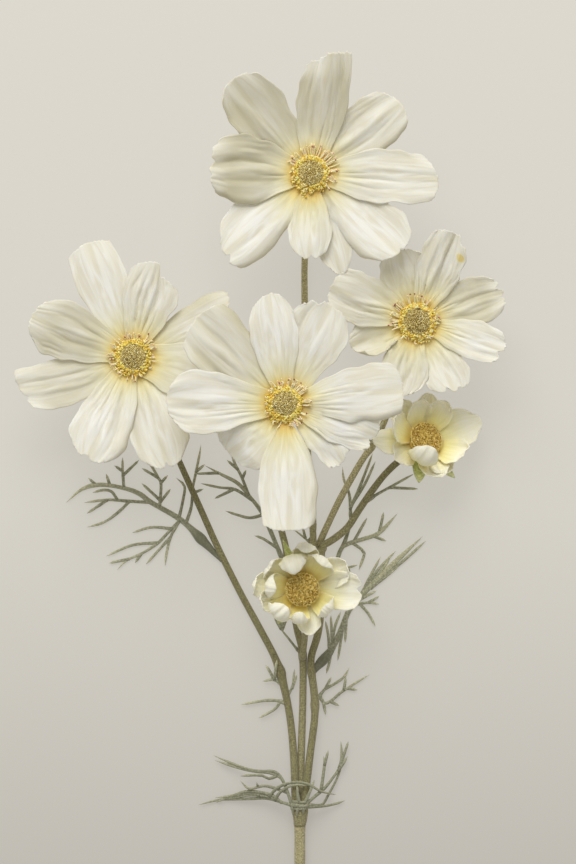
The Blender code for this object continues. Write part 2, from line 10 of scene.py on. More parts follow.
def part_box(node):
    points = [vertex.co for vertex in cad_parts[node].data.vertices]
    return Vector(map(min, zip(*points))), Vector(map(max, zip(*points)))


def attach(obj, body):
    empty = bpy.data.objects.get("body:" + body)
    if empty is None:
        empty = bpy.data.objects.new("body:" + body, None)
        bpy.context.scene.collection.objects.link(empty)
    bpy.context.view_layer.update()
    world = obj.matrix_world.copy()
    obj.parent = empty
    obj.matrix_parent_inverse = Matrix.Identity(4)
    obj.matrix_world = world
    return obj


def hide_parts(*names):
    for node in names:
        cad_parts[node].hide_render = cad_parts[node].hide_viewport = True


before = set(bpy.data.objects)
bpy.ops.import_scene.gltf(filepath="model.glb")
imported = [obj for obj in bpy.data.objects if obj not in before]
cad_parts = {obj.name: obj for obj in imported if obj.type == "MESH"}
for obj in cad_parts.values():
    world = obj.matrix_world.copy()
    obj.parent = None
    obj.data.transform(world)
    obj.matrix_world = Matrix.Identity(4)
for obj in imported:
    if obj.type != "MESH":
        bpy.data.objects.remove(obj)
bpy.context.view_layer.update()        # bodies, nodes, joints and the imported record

# ---- Main stem --------------------------------------------------------------------------
# One stem carries the whole spray: wire inside a moulded plastic sleeve with a flocked,
# speckled olive skin, cut square at its foot and let into the lower collar. Sizes are
# millimetres from the cut end: x across, y along the stem, z over the table.
MM = 0.001
MAIN_STEM_R = 1.8
MAIN_STEM_TOP_R = 2.05
MAIN_STEM_LENGTH = 39.5
MAIN_STEM_SIDES = 24
COLLAR_HEIGHT = 3.2
STEM_STEP = 1.6

stem_low, stem_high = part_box("main_stem")
collar_low, collar_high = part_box("stem_collar")
CUT_END = Vector((0.5 * (stem_low.x + stem_high.x), stem_low.y,
                  0.5 * (collar_low.z + collar_high.z) - COLLAR_HEIGHT * MM))


def on_spray(spot):
    """A place on the spray, from millimetres to the shared frame."""
    return CUT_END + Vector(spot) * MM


def smooth_route(points, step):
    """Points about one step apart on a smooth curve through the route's own points."""
    knots = [Vector(p) for p in points]
    knots = [2 * knots[0] - knots[1]] + knots + [2 * knots[-1] - knots[-2]]
    route = []
    for before, start, end, after in zip(knots, knots[1:], knots[2:], knots[3:]):
        pieces = max(1, round((end - start).length / step))
        for i in range(pieces):
            t = i / pieces
            route.append(0.5 * (2 * start + (end - before) * t
                                + (2 * before - 5 * start + 4 * end - after) * t ** 2
                                + (3 * start - before - 3 * end + after) * t ** 3))
    route.append(knots[-2])
    return route


def carried_sides(route):
    """The directions across and up at each point of a route, carried along without twist."""
    sides = []
    up = Vector((0, 0, 1))
    for i in range(len(route)):
        ahead = (route[min(i + 1, len(route) - 1)] - route[max(i - 1, 0)]).normalized()
        up = (up - up.dot(ahead) * ahead).normalized()
        sides.append((ahead.cross(up), up))
    return sides


def new_bmesh(*layers):
    """An empty mesh whose points carry the named numbers for its material."""
    bm = bmesh.new()
    for layer in layers:
        bm.verts.layers.float.new(layer)
    return bm


def tube(bm, route, radius_at, sides, flat=1.0):
    """A grid rolled round the route and pinched shut at both ends."""
    rings = len(route) + 2
    along = bm.verts.layers.float["along"]
    edge = bm.verts.layers.float.get("edge")
    grid = bmesh.ops.create_grid(bm, x_segments=rings - 1, y_segments=sides, size=1.0)["verts"]
    frames = carried_sides(route)
    for dot in grid:
        ring = round(0.5 * (dot.co.x + 1) * (rings - 1))
        turn = math.pi * dot.co.y
        i = min(max(ring - 1, 0), len(route) - 1)
        share = i / (len(route) - 1)
        radius = 0.0 if ring in (0, rings - 1) else radius_at(share)
        across, up = frames[i]
        dot[along] = share
        # How near a point is to a thread's sides, where the leaves get a painted highlight.
        if edge:
            dot[edge] = abs(math.cos(turn))
        dot.co = on_spray(route[i] + radius * (math.cos(turn) * across + flat * math.sin(turn) * up))
    bmesh.ops.remove_doubles(bm, verts=grid, dist=0.001 * MM)


def dye(red, green, blue):
    """A colour as the eye reads it, 0 to 255, in the light values that a shader takes."""
    return (*[((c / 255 + 0.055) / 1.055) ** 2.4 for c in (red, green, blue)], 1.0)


def grey(value):
    """A plain number as a colour, for a ramp that leads to a number."""
    return (value, value, value, 1)


def new_finish(name, **sockets):
    """A Principled material with the values that are the same all over it."""
    material = bpy.data.materials.new(name)
    material.use_nodes = True
    shader = material.node_tree.nodes["Principled BSDF"]
    for socket, value in sockets.items():
        shader.inputs[socket.replace("_", " ")].default_value = value
    return material


def add_node(material, kind, inputs=(), **settings):
    """One node; an input is a plain value or another node's output."""
    node = material.node_tree.nodes.new("ShaderNode" + kind)
    for key, value in settings.items():
        setattr(node, key, value)
    for key, value in dict(inputs).items():
        if isinstance(value, bpy.types.NodeSocket):
            material.node_tree.links.new(value, node.inputs[key])
        else:
            node.inputs[key].default_value = value
    return node


def add_ramp(material, factor, stops):
    """Colours along a factor from 0 to 1, as (place, colour) stops."""
    node = add_node(material, "ValToRGB", {"Fac": factor})
    elements = node.color_ramp.elements
    for i, (place, colour) in enumerate(stops):
        element = elements[i] if i < len(elements) else elements.new(place)
        element.position = place
        element.color = colour
    return node.outputs["Color"]


def mix(material, factor, first, second, blend="MIX"):
    """Two colours blended by a factor."""
    sockets = {"Fac": factor, "Color1": first, "Color2": second}
    return add_node(material, "MixRGB", sockets, blend_type=blend).outputs["Color"]


def tinted(material, colour, tint):
    """A colour seen through a tint."""
    return mix(material, 1.0, colour, tint, "MULTIPLY")


def noted(material, layer):
    """A number that the mesh carries at each of its points."""
    return add_node(material, "Attribute", attribute_name=layer).outputs["Fac"]


def surface_noise(material, scale, detail=2.0, roughness=0.5):
    """Even noise through the piece, on Object coordinates: scale is features per metre."""
    place = add_node(material, "TexCoord").outputs["Object"]
    return add_node(material, "TexNoise", {"Vector": place, "Scale": scale, "Detail": detail,
                                           "Roughness": roughness}).outputs["Fac"]


def connect(material, colour=None, roughness=None, height=None, strength=0.4, distance=0.0002):
    """Leads the worked-out colour, roughness and relief to the shader."""
    shader = material.node_tree.nodes["Principled BSDF"]
    links = material.node_tree.links
    if colour:
        links.new(colour, shader.inputs["Base Color"])
    if roughness:
        links.new(roughness, shader.inputs["Roughness"])
    if height:
        bump = add_node(material, "Bump", {"Height": height, "Strength": strength, "Distance": distance})
        links.new(bump.outputs["Normal"], shader.inputs["Normal"])


def spray_piece(node, bm, material, solid=True):
    """Makes a mesh a finished piece that stands for its node and rides with the spray."""
    if solid:
        bmesh.ops.recalc_face_normals(bm, faces=bm.faces)
    mesh = bpy.data.meshes.new(node + "_surface")
    bm.to_mesh(mesh)
    bm.free()
    mesh.shade_smooth()
    mesh.materials.append(material)
    piece = bpy.data.objects.new(node + "_surface", mesh)
    bpy.context.scene.collection.objects.link(piece)
    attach(piece, "root")
    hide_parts(node)
    return piece


def flocked_stem_finish():
    """Speckled flock over olive plastic: dark, olive and straw-coloured grains."""
    material = new_finish("flocked_stem", Roughness=0.85, Sheen_Weight=0.25)
    grain = surface_noise(material, 2300, 3.0, 0.7)
    patch = surface_noise(material, 70, 2.0)
    tone = noted(material, "tone")
    speckled = add_ramp(material, grain, [(0.36, dye(138, 133, 103)), (0.48, dye(182, 177, 146)),
                                          (0.60, dye(217, 211, 183)), (0.70, dye(244, 239, 220))])
    # The tone lightens or darkens each stem's colour; toward the end of the top bloom's stem it is painted
    # light, lifting the shade that bloom casts.
    shade = add_ramp(material, tone, [(0.0, dye(166, 165, 140)), (1.0, dye(255, 251, 243))])
    browned = mix(material, patch, dye(230, 226, 204), dye(255, 255, 246))
    colour = tinted(material, speckled, browned)
    colour = tinted(material, colour, shade)
    rough = add_ramp(material, grain, [(0.3, grey(0.7)), (0.7, grey(0.95))])
    connect(material, colour, rough, grain, 0.4, 0.0002)
    return material


def set_tone(bm, first, last):
    """How light a stem's colour is, from its foot to its end."""
    along, tone = bm.verts.layers.float["along"], bm.verts.layers.float["tone"]
    for dot in bm.verts:
        dot[tone] = first + (last - first) * dot[along]


def wander(x, y, z):
    """Smooth noise from about -1 to 1, the same at every run."""
    return noise.noise(Vector((x, y, z)))


def uneven(first_r, last_r, seed, swellings=()):
    """A stem's radius along it: an even taper, slight waviness and the swellings at its joints."""
    def radius_at(share):
        radius = first_r + (last_r - first_r) * share
        radius *= 1 + 0.05 * wander(9 * share, seed, 0.5)
        for at, width, extra in swellings:
            radius += extra * math.exp(-((share - at) / width) ** 2)
        return radius
    return radius_at


stem_finish = flocked_stem_finish()
bm = new_bmesh("along", "tone")
route = smooth_route([(0, 0, MAIN_STEM_R), (0, 20, 2.4), (0, MAIN_STEM_LENGTH, COLLAR_HEIGHT)], STEM_STEP)
tube(bm, route, uneven(MAIN_STEM_R, MAIN_STEM_TOP_R, 1), MAIN_STEM_SIDES)
set_tone(bm, 0.65, 0.75)
spray_piece("main_stem", bm, stem_finish)

# ---- Branch stems -----------------------------------------------------------------------
# Three branches leave the lower collar, and the right one forks again at the upper collar.
# Each is wire in the same flocked sleeve, bent by hand, and pushed into its bloom's calyx.
BRANCH_SIDES = 16
# Rows: radius at the foot and at the end; the route; its swellings, as (place, width, extra radius)
STEMS = {
    "left_stem": (1.4, 1.05, [
        (-1.2, 42.0, 4.0), (-1.6, 45.8, 4.1), (-2.2, 62.5, 3.4), (-3.6, 77, 2.7), (-6.1, 89.5, 2.1),
        (-9, 98.5, 1.9), (-15, 110, 1.7), (-21.5, 122, 1.7), (-29.5, 138, 2.0), (-36, 152.5, 3.0),
        (-44, 170.5, 5.5), (-52.5, 190, 9.5), (-58.5, 203, 12.5), (-60.1, 207.2, 14.8),
        (-60.1, 207.7, 18.0)], [(0.28, 0.012, 0.5), (0.275, 0.03, 0.25)]),
    "centre_stem": (1.4, 1.15, [
        (0, 42, 1.8), (0, 45.8, 1.5), (0.7, 70, 1.6), (1.1, 84, 1.6), (1.0, 100, 1.6), (-1.1, 109.5, 1.6),
        (-3.6, 124, 1.8), (-5, 138, 2.6), (-6.8, 146, 4.5), (-7, 156, 9), (-6.4, 170, 17),
        (-5.6, 183, 24), (-5.4, 190.2, 29), (-5.4, 190.8, 33)], [(0.36, 0.015, 0.35)]),
    "right_stem": (1.4, 1.35, [
        (1.2, 42.0, 4.0), (1.6, 45.8, 4.1), (3.6, 62.5, 3.6), (5.4, 77, 3.0), (5.2, 86, 2.4),
        (4.1, 94.5, 2.0), (4.3, 99.5, 2.0), (6.5, 107, 2.0), (7.6, 115.5, 2.2), (7.4, 124, 2.7),
        (6.8, 131.5, 3.2)], [(0.44, 0.02, 0.35), (0.58, 0.02, 0.3)]),
    "top_bloom_stem": (1.25, 1.15, [
        (5.6, 135.5, 4.2), (5.0, 137.9, 4.4), (4.7, 145.5, 3.8), (2.9, 174, 1.7), (1.8, 226.5, 1.35),
        (1.8, 243.5, 3.0), (2.8, 256, 8), (3.8, 268, 15), (4.0, 273, 20), (4.0, 273.6, 24)], []),
    "right_bloom_stem": (1.25, 1.15, [
        (6.4, 135.5, 2.2), (6.6, 138.1, 1.8), (6.9, 139.5, 1.9), (9, 144.5, 2.6), (13.7, 154.5, 3.7),
        (18, 162.5, 4.6), (22.3, 170, 5.8), (26, 175.5, 7.0), (30, 183, 8.8), (36, 200, 11.2),
        (41, 215.5, 12.8), (42.1, 219.8, 14.9), (42.1, 220.3, 18.0)], [(0.47, 0.02, 0.45)]),
    "side_bud_stem": (1.35, 1.2, [
        (7.6, 135.8, 4.0), (8.2, 138.3, 4.4), (8.4, 139.4, 4.4), (12.6, 142, 4.2), (17.3, 146, 4.0),
        (21.6, 152.5, 4.2), (26, 159, 4.8), (30.6, 165, 5.6), (35.3, 169.6, 5.6), (39.2, 172.1, 6.0),
        (40.95, 173.75, 7.0), (41.8, 174.6, 8.8)], []),
    "low_bud_stem": (1.1, 1.1, [
        (1.0, 98.5, 3.0), (1.2, 100.5, 4.5), (1.8, 106, 7), (2.1, 113, 9.5), (1.9, 120, 11.5),
        (1.7, 124.6, 14.4), (1.4, 124.7, 17.0)], [(0.05, 0.06, 0.3)]),
}
# How light each stem's colour is at its foot and at its end; the top bloom's stem is made lighter toward its
# end as painted light, where that bloom shades it
STEM_TONES_AND_PAINTED_LIGHT = {"left_stem": (0.2, 0.15), "centre_stem": (0.55, 0.3), "right_stem": (0.05, 0.6),
              "top_bloom_stem": (0.5, 1.3), "right_bloom_stem": (1.0, 1.15), "low_bud_stem": (0.6, 0.6),
              "side_bud_stem": (0.55, 0.0)}
for index, (node, (first_r, last_r, points, swellings)) in enumerate(STEMS.items()):
    bm = new_bmesh("along", "tone")
    tube(bm, smooth_route(points, STEM_STEP), uneven(first_r, last_r, 3 + index, swellings), BRANCH_SIDES)
    set_tone(bm, *STEM_TONES_AND_PAINTED_LIGHT[node])
    spray_piece(node, bm, stem_finish)

# ---- Collars ----------------------------------------------------------------------------
# At both forks a moulded collar grips the bundle of stems: a short tapered sleeve whose
# flanks show the stems inside it as soft ribs, with a rolled lip where they come out.
# Rows: the route from foot to lip; radius at the foot and at the lip
COLLARS = {
    "stem_collar": ([(0, 37.6, 3.3), (0, 42, 3.7), (0, 46.6, 3.85)], 2.15, 3.35),
    "upper_collar": ([(6.75, 130.2, 3.2), (6.6, 134.4, 3.5), (6.45, 138.6, 3.7)], 1.65, 3.05),
}
COLLAR_RINGS = 15
COLLAR_SIDES = 36
LIP_R = 0.35
RIBS = 3
RIB_DEPTH = 0.045       # share of the radius
RIB_START = 2.0         # how far above the foot the ribs stand out fully


def collar_shape(foot_r, lip_r):
    """Radius along a collar: a slow flare that ends in a lip."""
    def radius_at(share):
        flare = foot_r + (lip_r - foot_r) * share ** 0.8
        lip = LIP_R * math.exp(-((share - 0.93) / 0.07) ** 2)
        return flare - 0.25 * math.exp(-((share - 0.75) / 0.12) ** 2) + lip
    return radius_at


for node, (ends, foot_r, lip_r) in COLLARS.items():
    bm = new_bmesh("along", "tone")
    length = (Vector(ends[-1]) - Vector(ends[0])).length
    route = smooth_route(ends, length / COLLAR_RINGS)
    tube(bm, route, collar_shape(foot_r, lip_r), COLLAR_SIDES)
    foot, middle = on_spray(ends[0]), on_spray(ends[1])
    for dot in bm.verts:
        turn = math.atan2(dot.co.z - middle.z, dot.co.x - middle.x)
        ribs = 1 + RIB_DEPTH * math.cos(RIBS * turn) * min(1, (dot.co.y - foot.y) / (RIB_START * MM))
        dot.co.x = middle.x + (dot.co.x - middle.x) * ribs
        dot.co.z = middle.z + (dot.co.z - middle.z) * ribs
    set_tone(bm, 0.45, 0.5)
    spray_piece(node, bm, stem_finish)

# ---- Leaves -----------------------------------------------------------------------------
# Thread-fine leaves, each moulded in one piece of grey-green plastic: a flattened stalk whose
# side threads fork again and end in points. A stub at the stalk's foot is pressed on the stem.
THREAD_STEP = 1.3
THREAD_SIDES = 8
THREAD_R = 0.62         # half the width of a side thread at its foot
THREAD_FLATNESS = 0.62  # thickness of a thread against its width
POINT = 0.16            # share of a thread's length in its pointed end
SETTLE = 9.0            # how far from the stem a leaf has sunk to where it lies
# Rows: half width of the stalk; how much its foot swells, and where; height at the stem; height
# where the leaf lies; and its threads, the stalk first, which starts inside the stem
LEAVES = {
    "left_leaf": (1.05, (0.95, 0.17), 1.8, 0.75, [
        [(-28.4, 133.6, 1.7), (-30.7, 136.2, 1.7), (-34.6, 140.4, 1.6), (-43, 148.5), (-54, 155),
         (-58, 158), (-63, 160), (-72, 161.5), (-79, 160), (-85, 155)],
        [(-54, 155), (-62, 155.5), (-70, 156), (-78.5, 155)],
        [(-70, 156), (-77.5, 151)],
        [(-62, 155.5), (-65.5, 152), (-71, 148), (-77.5, 146)],
        [(-64, 160.3), (-64.5, 167), (-64.5, 171.5)],
        [(-64.2, 165), (-58.5, 170.5)],
        [(-64.5, 166.5), (-67.5, 168.5)],
        [(-69, 161), (-70.5, 165.5)],
        [(-74, 161.3), (-77, 164)],
        [(-66.5, 156.2), (-68.5, 159.0), (-71.4, 159.6), (-75.5, 158.6)],
        [(-51, 153.3), (-50.5, 161.5), (-51.5, 164), (-54.5, 169), (-57, 170.5)],
        [(-51.5, 164), (-57.5, 167.5)],
        [(-50.7, 162), (-48, 165)],
        [(-51, 156), (-57.5, 162)],
        [(-50.9, 155), (-47, 160)],
        [(-44, 149.2), (-42.5, 156), (-42, 161), (-45, 164)],
        [(-41.5, 147.3), (-39.5, 153.5), (-39, 160), (-38, 165), (-36.5, 172.5), (-36, 176)],
        [(-38.8, 158.5), (-35, 160)],
        [(-38, 166), (-34.5, 169)],
        [(-43.5, 148.7), (-48.5, 143.5), (-52, 140), (-57.5, 136.5), (-63, 134), (-66.5, 130.5)],
        [(-51.5, 140.4), (-61, 139.5), (-70.5, 135.5)],
        [(-46.5, 145.5), (-54, 146), (-61, 144)],
        [(-62, 134.5), (-69.5, 133)],
        [(-57.7, 136.3), (-60, 133)],
        [(-44, 148), (-47, 142.5), (-48.5, 136.5), (-49, 132)],
        [(-47, 142.5), (-52, 137), (-56, 132.5)],
    ]),
    "middle_leaf": (0.85, (0.2, 0.11), 2.8, 3.4, [
        [(-4.9, 131.6, 2.6), (-6.6, 135, 3.0), (-11, 145.5), (-13.5, 151), (-18, 157), (-22.5, 162),
         (-28, 165), (-34.5, 168.5)],
        [(-29.5, 165.8), (-38, 165.5)],
        [(-17, 155.7), (-23.5, 159.8), (-29, 160.5), (-36, 162)],
        [(-24, 159.9), (-31, 156.5)],
        [(-13.3, 150.6), (-18, 149.5), (-22.5, 150.5), (-27, 152)],
        [(-18.5, 157.5), (-21, 164), (-23, 168), (-25, 172.5)],
        [(-22.4, 167), (-26.5, 170.5)],
        [(-20.9, 163.8), (-19.5, 167)],
        [(-8, 138.4), (-13.5, 142), (-16.5, 143)],
    ]),
    "inner_leaf": (0.6, (0.2, 0.11), 4.0, 1.5, [
        [(18.6, 148.4, 3.0), (18.4, 152, 2.9), (18, 158), (16, 163.5), (15.5, 168)],
        [(18.2, 152.5), (21.5, 160), (25, 169), (26.5, 173)],
        [(19.3, 155), (23.5, 161.5), (27.5, 170)],
    ]),
    "side_leaf": (0.6, (0.25, 0.11), 4.2, 3.0, [
        [(24.6, 155.4, 4.4), (27.5, 157.7, 4.1), (32.5, 160.5), (41.5, 165.5)],
        [(32.5, 160.5), (43, 160)],
    ]),
    "right_leaf": (0.95, (0.2, 0.11), 2.2, 0.75, [
        [(7.8, 121.4, 2.2), (9.6, 125.4, 2.0), (13.3, 133.5), (15, 138), (17.5, 140), (27, 143),
         (30.5, 145.5), (35.5, 151)],
        [(29, 144.4), (30.5, 151.5)],
        [(26.5, 142.9), (31.5, 141)],
        [(19.5, 140.6), (22.5, 146), (24.5, 149.5)],
        [(19, 140.4), (22.5, 138), (23.5, 136.5), (21.5, 130.5)],
        [(16, 138.8), (18.5, 147), (20.3, 151)],
        [(14.6, 137.2), (16.2, 141), (17.9, 145.6, 1.0), (18.7, 149.2, 2.2)],
        [(12, 130.6), (16, 131), (21, 132.3)],
        [(17.5, 131.3), (18.5, 127.5)],
    ]),
    "low_right_leaf": (1.2, (0.75, 0.11), 2.2, 0.8, [
        [(4.5, 92.4, 2.2), (6.4, 95.4, 2.1), (11, 100.8), (14.5, 107.5), (18, 116), (21.5, 120),
         (25, 124), (30.5, 129.2), (36, 134.6), (44.8, 142.8)],
        [(29.5, 127.6), (37, 133.2), (46, 141.2)],
        [(25.6, 123.6), (31, 127.8), (36.9, 132.8)],
        [(24.5, 123.4), (29.5, 130), (33, 134.9)],
        [(21.8, 120.4), (25, 127), (29.5, 135.5)],
        [(23.5, 122.3), (28, 130), (35, 137.5)],
        [(20.5, 119), (28, 123)],
        [(19.5, 117.8), (25, 118.6), (29, 118)],
        [(25, 118.6), (29, 121)],
        [(22, 118), (25, 114.5), (27.5, 110)],
        [(11.3, 101), (12.7, 109.5), (15, 115.5)],
        [(10.8, 100.3), (10.3, 107), (9.3, 112)],
        [(11.8, 104), (11.3, 114)],
        [(15.8, 110.5), (14.8, 104), (13.8, 97.5)],
        [(17, 113.5), (16.5, 104)],
        [(11.2, 101), (10.8, 97), (9.6, 92.8)],
    ]),
    "right_stem_leaf": (0.65, (0.3, 0.11), 2.3, 0.7, [
        [(5.6, 82.6, 2.4), (7.3, 84.8, 2.2), (9, 87), (12.5, 89), (16, 91.5), (18, 95)],
        [(7.45, 84.5), (8.9, 82), (11.5, 83), (15, 86), (17.5, 87.5), (20.5, 89.5), (25.5, 92.5)],
        [(16, 86.6), (16.8, 91.8)],
        [(11, 82.7), (14.5, 81)],
        [(17.3, 87.4), (21, 86.8)],
        [(8.6, 82.3), (9.4, 77.8)],
        [(9.2, 87.1), (11.5, 91.6)],
    ]),
    "left_stem_leaf": (0.65, (0.3, 0.11), 2.3, 0.7, [
        [(-4.9, 81.6, 2.4), (-7, 82.8, 2.2), (-12.5, 83), (-21.5, 81.5)],
        [(-7.2, 82.8), (-9, 80), (-15, 76.5)],
    ]),
    "left_stem_upper_leaf": (0.65, (0.3, 0.11), 2.2, 0.9, [
        [(-6.5, 88.8, 2.2), (-8.2, 90.1, 2.2), (-10.2, 90.6), (-13.5, 90)],
        [(-9.4, 90.5), (-10.6, 93), (-12.4, 96)],
        [(-9.2, 90.4, 2.2), (-9.0, 93.0, 4.0), (-8.3, 98, 4.2)],
    ]),
    "between_stems_leaf": (0.55, (0.2, 0.11), 2.3, 1.4, [
        [(-5.0, 84.6, 2.4), (-3.4, 86.6, 2.2), (-2.5, 89), (-1.9, 94.5)],
        [(-2.9, 87.2), (-1.0, 92.5)],
    ]),
    "collar_leaf": (0.85, (0.0, 0.11), 7.2, 0.7, [
        [(-3.5, 45.3, 6.8), (0, 45, 7.4), (3.5, 45.3, 6.8)],
        [(-3.3, 44.2, 6.4), (0, 43.9, 7.2), (3.3, 44.3, 6.4)],
        [(-2.8, 46.6, 6.7), (0.4, 46.3, 7.5), (3.2, 46.5, 6.6)],
        [(-2.7, 44.8, 6.9), (-2.4, 41.2, 6.2)],
        [(-0.8, 44.3, 7.3), (-1.0, 40.6, 6.3)],
        [(1.4, 44.4, 7.2), (1.0, 41.6, 6.4)],
        [(-3, 45.2, 6.9), (-7, 46.4, 5.6), (-12.5, 47.6, 3.6), (-18.2, 47.3, 2.2), (-24.6, 47.1, 1.2),
         (-30.3, 46.7, 0.8), (-36.8, 45.0, 0.8)],
        [(-6.5, 46, 5.7), (-10.2, 48.8, 4.9), (-15.9, 50, 3.8), (-20.5, 49.9, 2.8), (-24.6, 48.5, 1.9),
         (-30.9, 47.6, 1.2)],
        [(-8.5, 47.3, 5.1), (-13, 48.5, 4.0), (-18.2, 48.7, 2.9), (-23, 47.9, 1.8), (-28.4, 46.9, 1.1)],
        [(-14.5, 48.8, 3.9), (-19.4, 49.2, 2.7), (-26, 47.8, 1.5), (-30.4, 45.9, 1.0)],
        [(-4.4, 49.7, 6.2), (-10.2, 51.7, 5.2), (-13.6, 52.1, 4.7), (-18.5, 51.1, 4.0), (-21.7, 54.1, 3.6)],
        [(-15.2, 51.9, 4.5), (-15.9, 53.6, 4.6)],
        [(-3, 45.4, 6.8), (-4.4, 49.7, 6.4), (-5.8, 53.4, 6.1), (-7.8, 56.5, 5.8), (-10.2, 57.6, 5.4),
         (-13.6, 57.5, 4.8), (-18.2, 58.1, 4.0), (-24.6, 60.2, 2.6), (-31.4, 63, 1.2)],
        [(-5.0, 51.8, 6.0), (-7.0, 55.2, 5.8), (-10.7, 56.8, 5.2), (-15.9, 57.3, 4.4), (-20.5, 58.1, 3.3),
         (-25.1, 59.4, 2.3), (-30.9, 61.2, 1.0)],
        [(-7.4, 56.2, 5.7), (-11.2, 54.8, 5.0), (-13.4, 55.8, 4.6), (-17.1, 56, 4.2), (-21.6, 55.6, 3.6)],
        [(-11.2, 48, 4.6), (-8.7, 51.1, 6.0), (-5.5, 52.8, 6.7), (-0.9, 53.6, 6.9), (3.7, 52.6, 6.7),
         (7.7, 50.2, 5.2), (13.2, 48.8, 3.4)],
        [(-9.2, 46.6, 5.0), (-7.3, 49.8, 6.2), (-4.2, 51.9, 6.9), (-0.6, 52.7, 7.1), (2.6, 52.2, 6.9)],
        [(-0.3, 46.2, 7.4), (-0.8, 49.6, 6.8), (-1.0, 53.3, 6.8)],
        [(1.5, 45.6, 7.3), (3.6, 50, 6.6), (5.3, 54.4, 5.6)],
        [(2.2, 45.6, 7.0), (6, 48.8, 5.2), (9, 51.3, 4.0), (11.7, 54.6, 3.0), (14.3, 58.5, 2.2),
         (15.2, 63.5, 1.7), (14.9, 68.4, 1.3)],
        [(14.2, 58.3, 2.2), (16.1, 63.5, 2.0), (17.7, 68.2, 1.8)],
        [(13.8, 57.4, 2.4), (15.8, 60.2, 2.2), (17.4, 62.8, 1.6)],
        [(7.7, 50.4, 4.6), (8.5, 56, 3.6), (9, 60.3, 3.0), (8.6, 62.8, 2.6)],
        [(8.9, 59.4, 3.2), (10.4, 65, 2.6)],
        [(3, 45.4, 6.6), (8, 45.3, 3.6), (10.6, 49.2, 2.4), (13.2, 54, 1.6), (15.5, 59.7, 1.3)],
        [(1.9, 44.6, 7.0), (8.3, 44.7, 3.8), (12.9, 45.4, 1.4), (16.5, 46.6, 0.8)],
    ]),
    "upper_collar_leaf": (0.5, (0.2, 0.11), 1.9, 0.8, [
        [(5.0, 136.6, 2.6), (4.2, 138.6, 1.9), (3, 141), (-2.5, 145.5)],
        [(2, 142), (1, 146.5)],
        [(3.1, 141), (5.4, 144.5, 0.75), (5.6, 151, 0.7)],
    ]),
    "right_bloom_leaf": (0.55, (0.0, 0.11), 9.6, 9.2, [
        [(20, 178.6, 9.2), (27, 177, 9.6), (33, 174, 8.8)],
        [(26.8, 177, 9.6), (30.5, 185, 11.4)],
    ]),
    "low_bud_bract": (0.5, (0.2, 0.11), 2.0, 2.0, [
        [(0.3, 100.0, 2.0), (-0.9, 101.5, 2.0), (-4, 105.5, 3.2), (-7.2, 109.5, 5.0)],
        [(-6.8, 109.0, 4.8), (-8.6, 112.5, 6.0), (-10.2, 117.0, 7.2)],
        [(-6.8, 109.0, 4.8), (-7.7, 112.8, 6.1), (-8.6, 117.0, 7.4)],
        [(-6.7, 108.8, 4.7), (-6.9, 112.8, 6.2), (-7.2, 116.5, 7.4)],
        [(-6.6, 108.7, 4.6), (-6.0, 112.6, 6.2), (-5.7, 116, 7.4)],
        [(-6.5, 108.6, 4.6), (-5.1, 112.2, 6.1), (-4.2, 115.2, 7.2)],
    ]),
}


def thread_route(thread, root, at_stem, lying):
    """A thread sinks from the stem to where it lies, unless its points say more."""
    spots = []
    for spot in thread:
        away = (Vector(spot[:2]) - Vector(root[:2])).length
        height = spot[2] if len(spot) == 3 else lying + (at_stem - lying) * math.exp(-away / SETTLE)
        spots.append((spot[0], spot[1], height))
    return smooth_route(spots, THREAD_STEP)


def eased(low, high, value):
    """0 below low, 1 above high, and a smooth rise between."""
    share = min(1.0, max(0.0, (value - low) / (high - low)))
    return share * share * (3 - 2 * share)


def thread_width(first_r, swell, swell_at, seed):
    """Half width along a thread: a swollen foot, a slow taper, a little waviness and a sharp end."""
    def radius_at(share):
        point = min(1.0, (1 - share) / POINT) ** 0.7
        wavy = 1 + 0.16 * wander(6 * share, seed, 2.5)
        foot = swell * (math.exp(-((share - swell_at) / 0.055) ** 2) - 0.6 * math.exp(-((share / 0.05) ** 2)))
        return max(0.03, (first_r * (1 - 0.3 * share) + foot) * point * wavy)
    return radius_at


def leaf_finish():
    """Grey-green plastic, darker at the foot and yellower to the tips in a pale flock colour, with that pale
    colour along the sides of each thread as a painted highlight.
    """
    material = new_finish("leaf_plastic", Roughness=0.7, Sheen_Weight=0.2)
    grain = surface_noise(material, 1500, 3.0, 0.65)
    patch = surface_noise(material, 55, 2.0)
    along = noted(material, "along")
    edge = noted(material, "edge")
    shade = noted(material, "shade")
    body = add_ramp(material, grain, [(0.36, dye(136, 137, 116)), (0.52, dye(166, 166, 144)),
                                      (0.68, dye(202, 201, 180))])
    flock = add_ramp(material, grain, [(0.36, dye(200, 199, 164)), (0.68, dye(240, 237, 210))])
    to_tip = add_ramp(material, along, [(0.4, grey(0)), (1.0, grey(0.7))])
    # Painted highlight: each thread is paled toward the flock colour along its sides.
    side_highlight = add_ramp(material, edge, [(0.70, grey(0)), (1.0, grey(0.75))])
    colour = mix(material, to_tip, mix(material, side_highlight, body, flock), flock)
    colour = mix(material, shade, colour, dye(116, 117, 98))
    greyed = mix(material, patch, dye(222, 220, 210), dye(255, 255, 248))
    colour = tinted(material, colour, greyed)
    connect(material, colour, None, grain, 0.35, 0.0002)
    return material


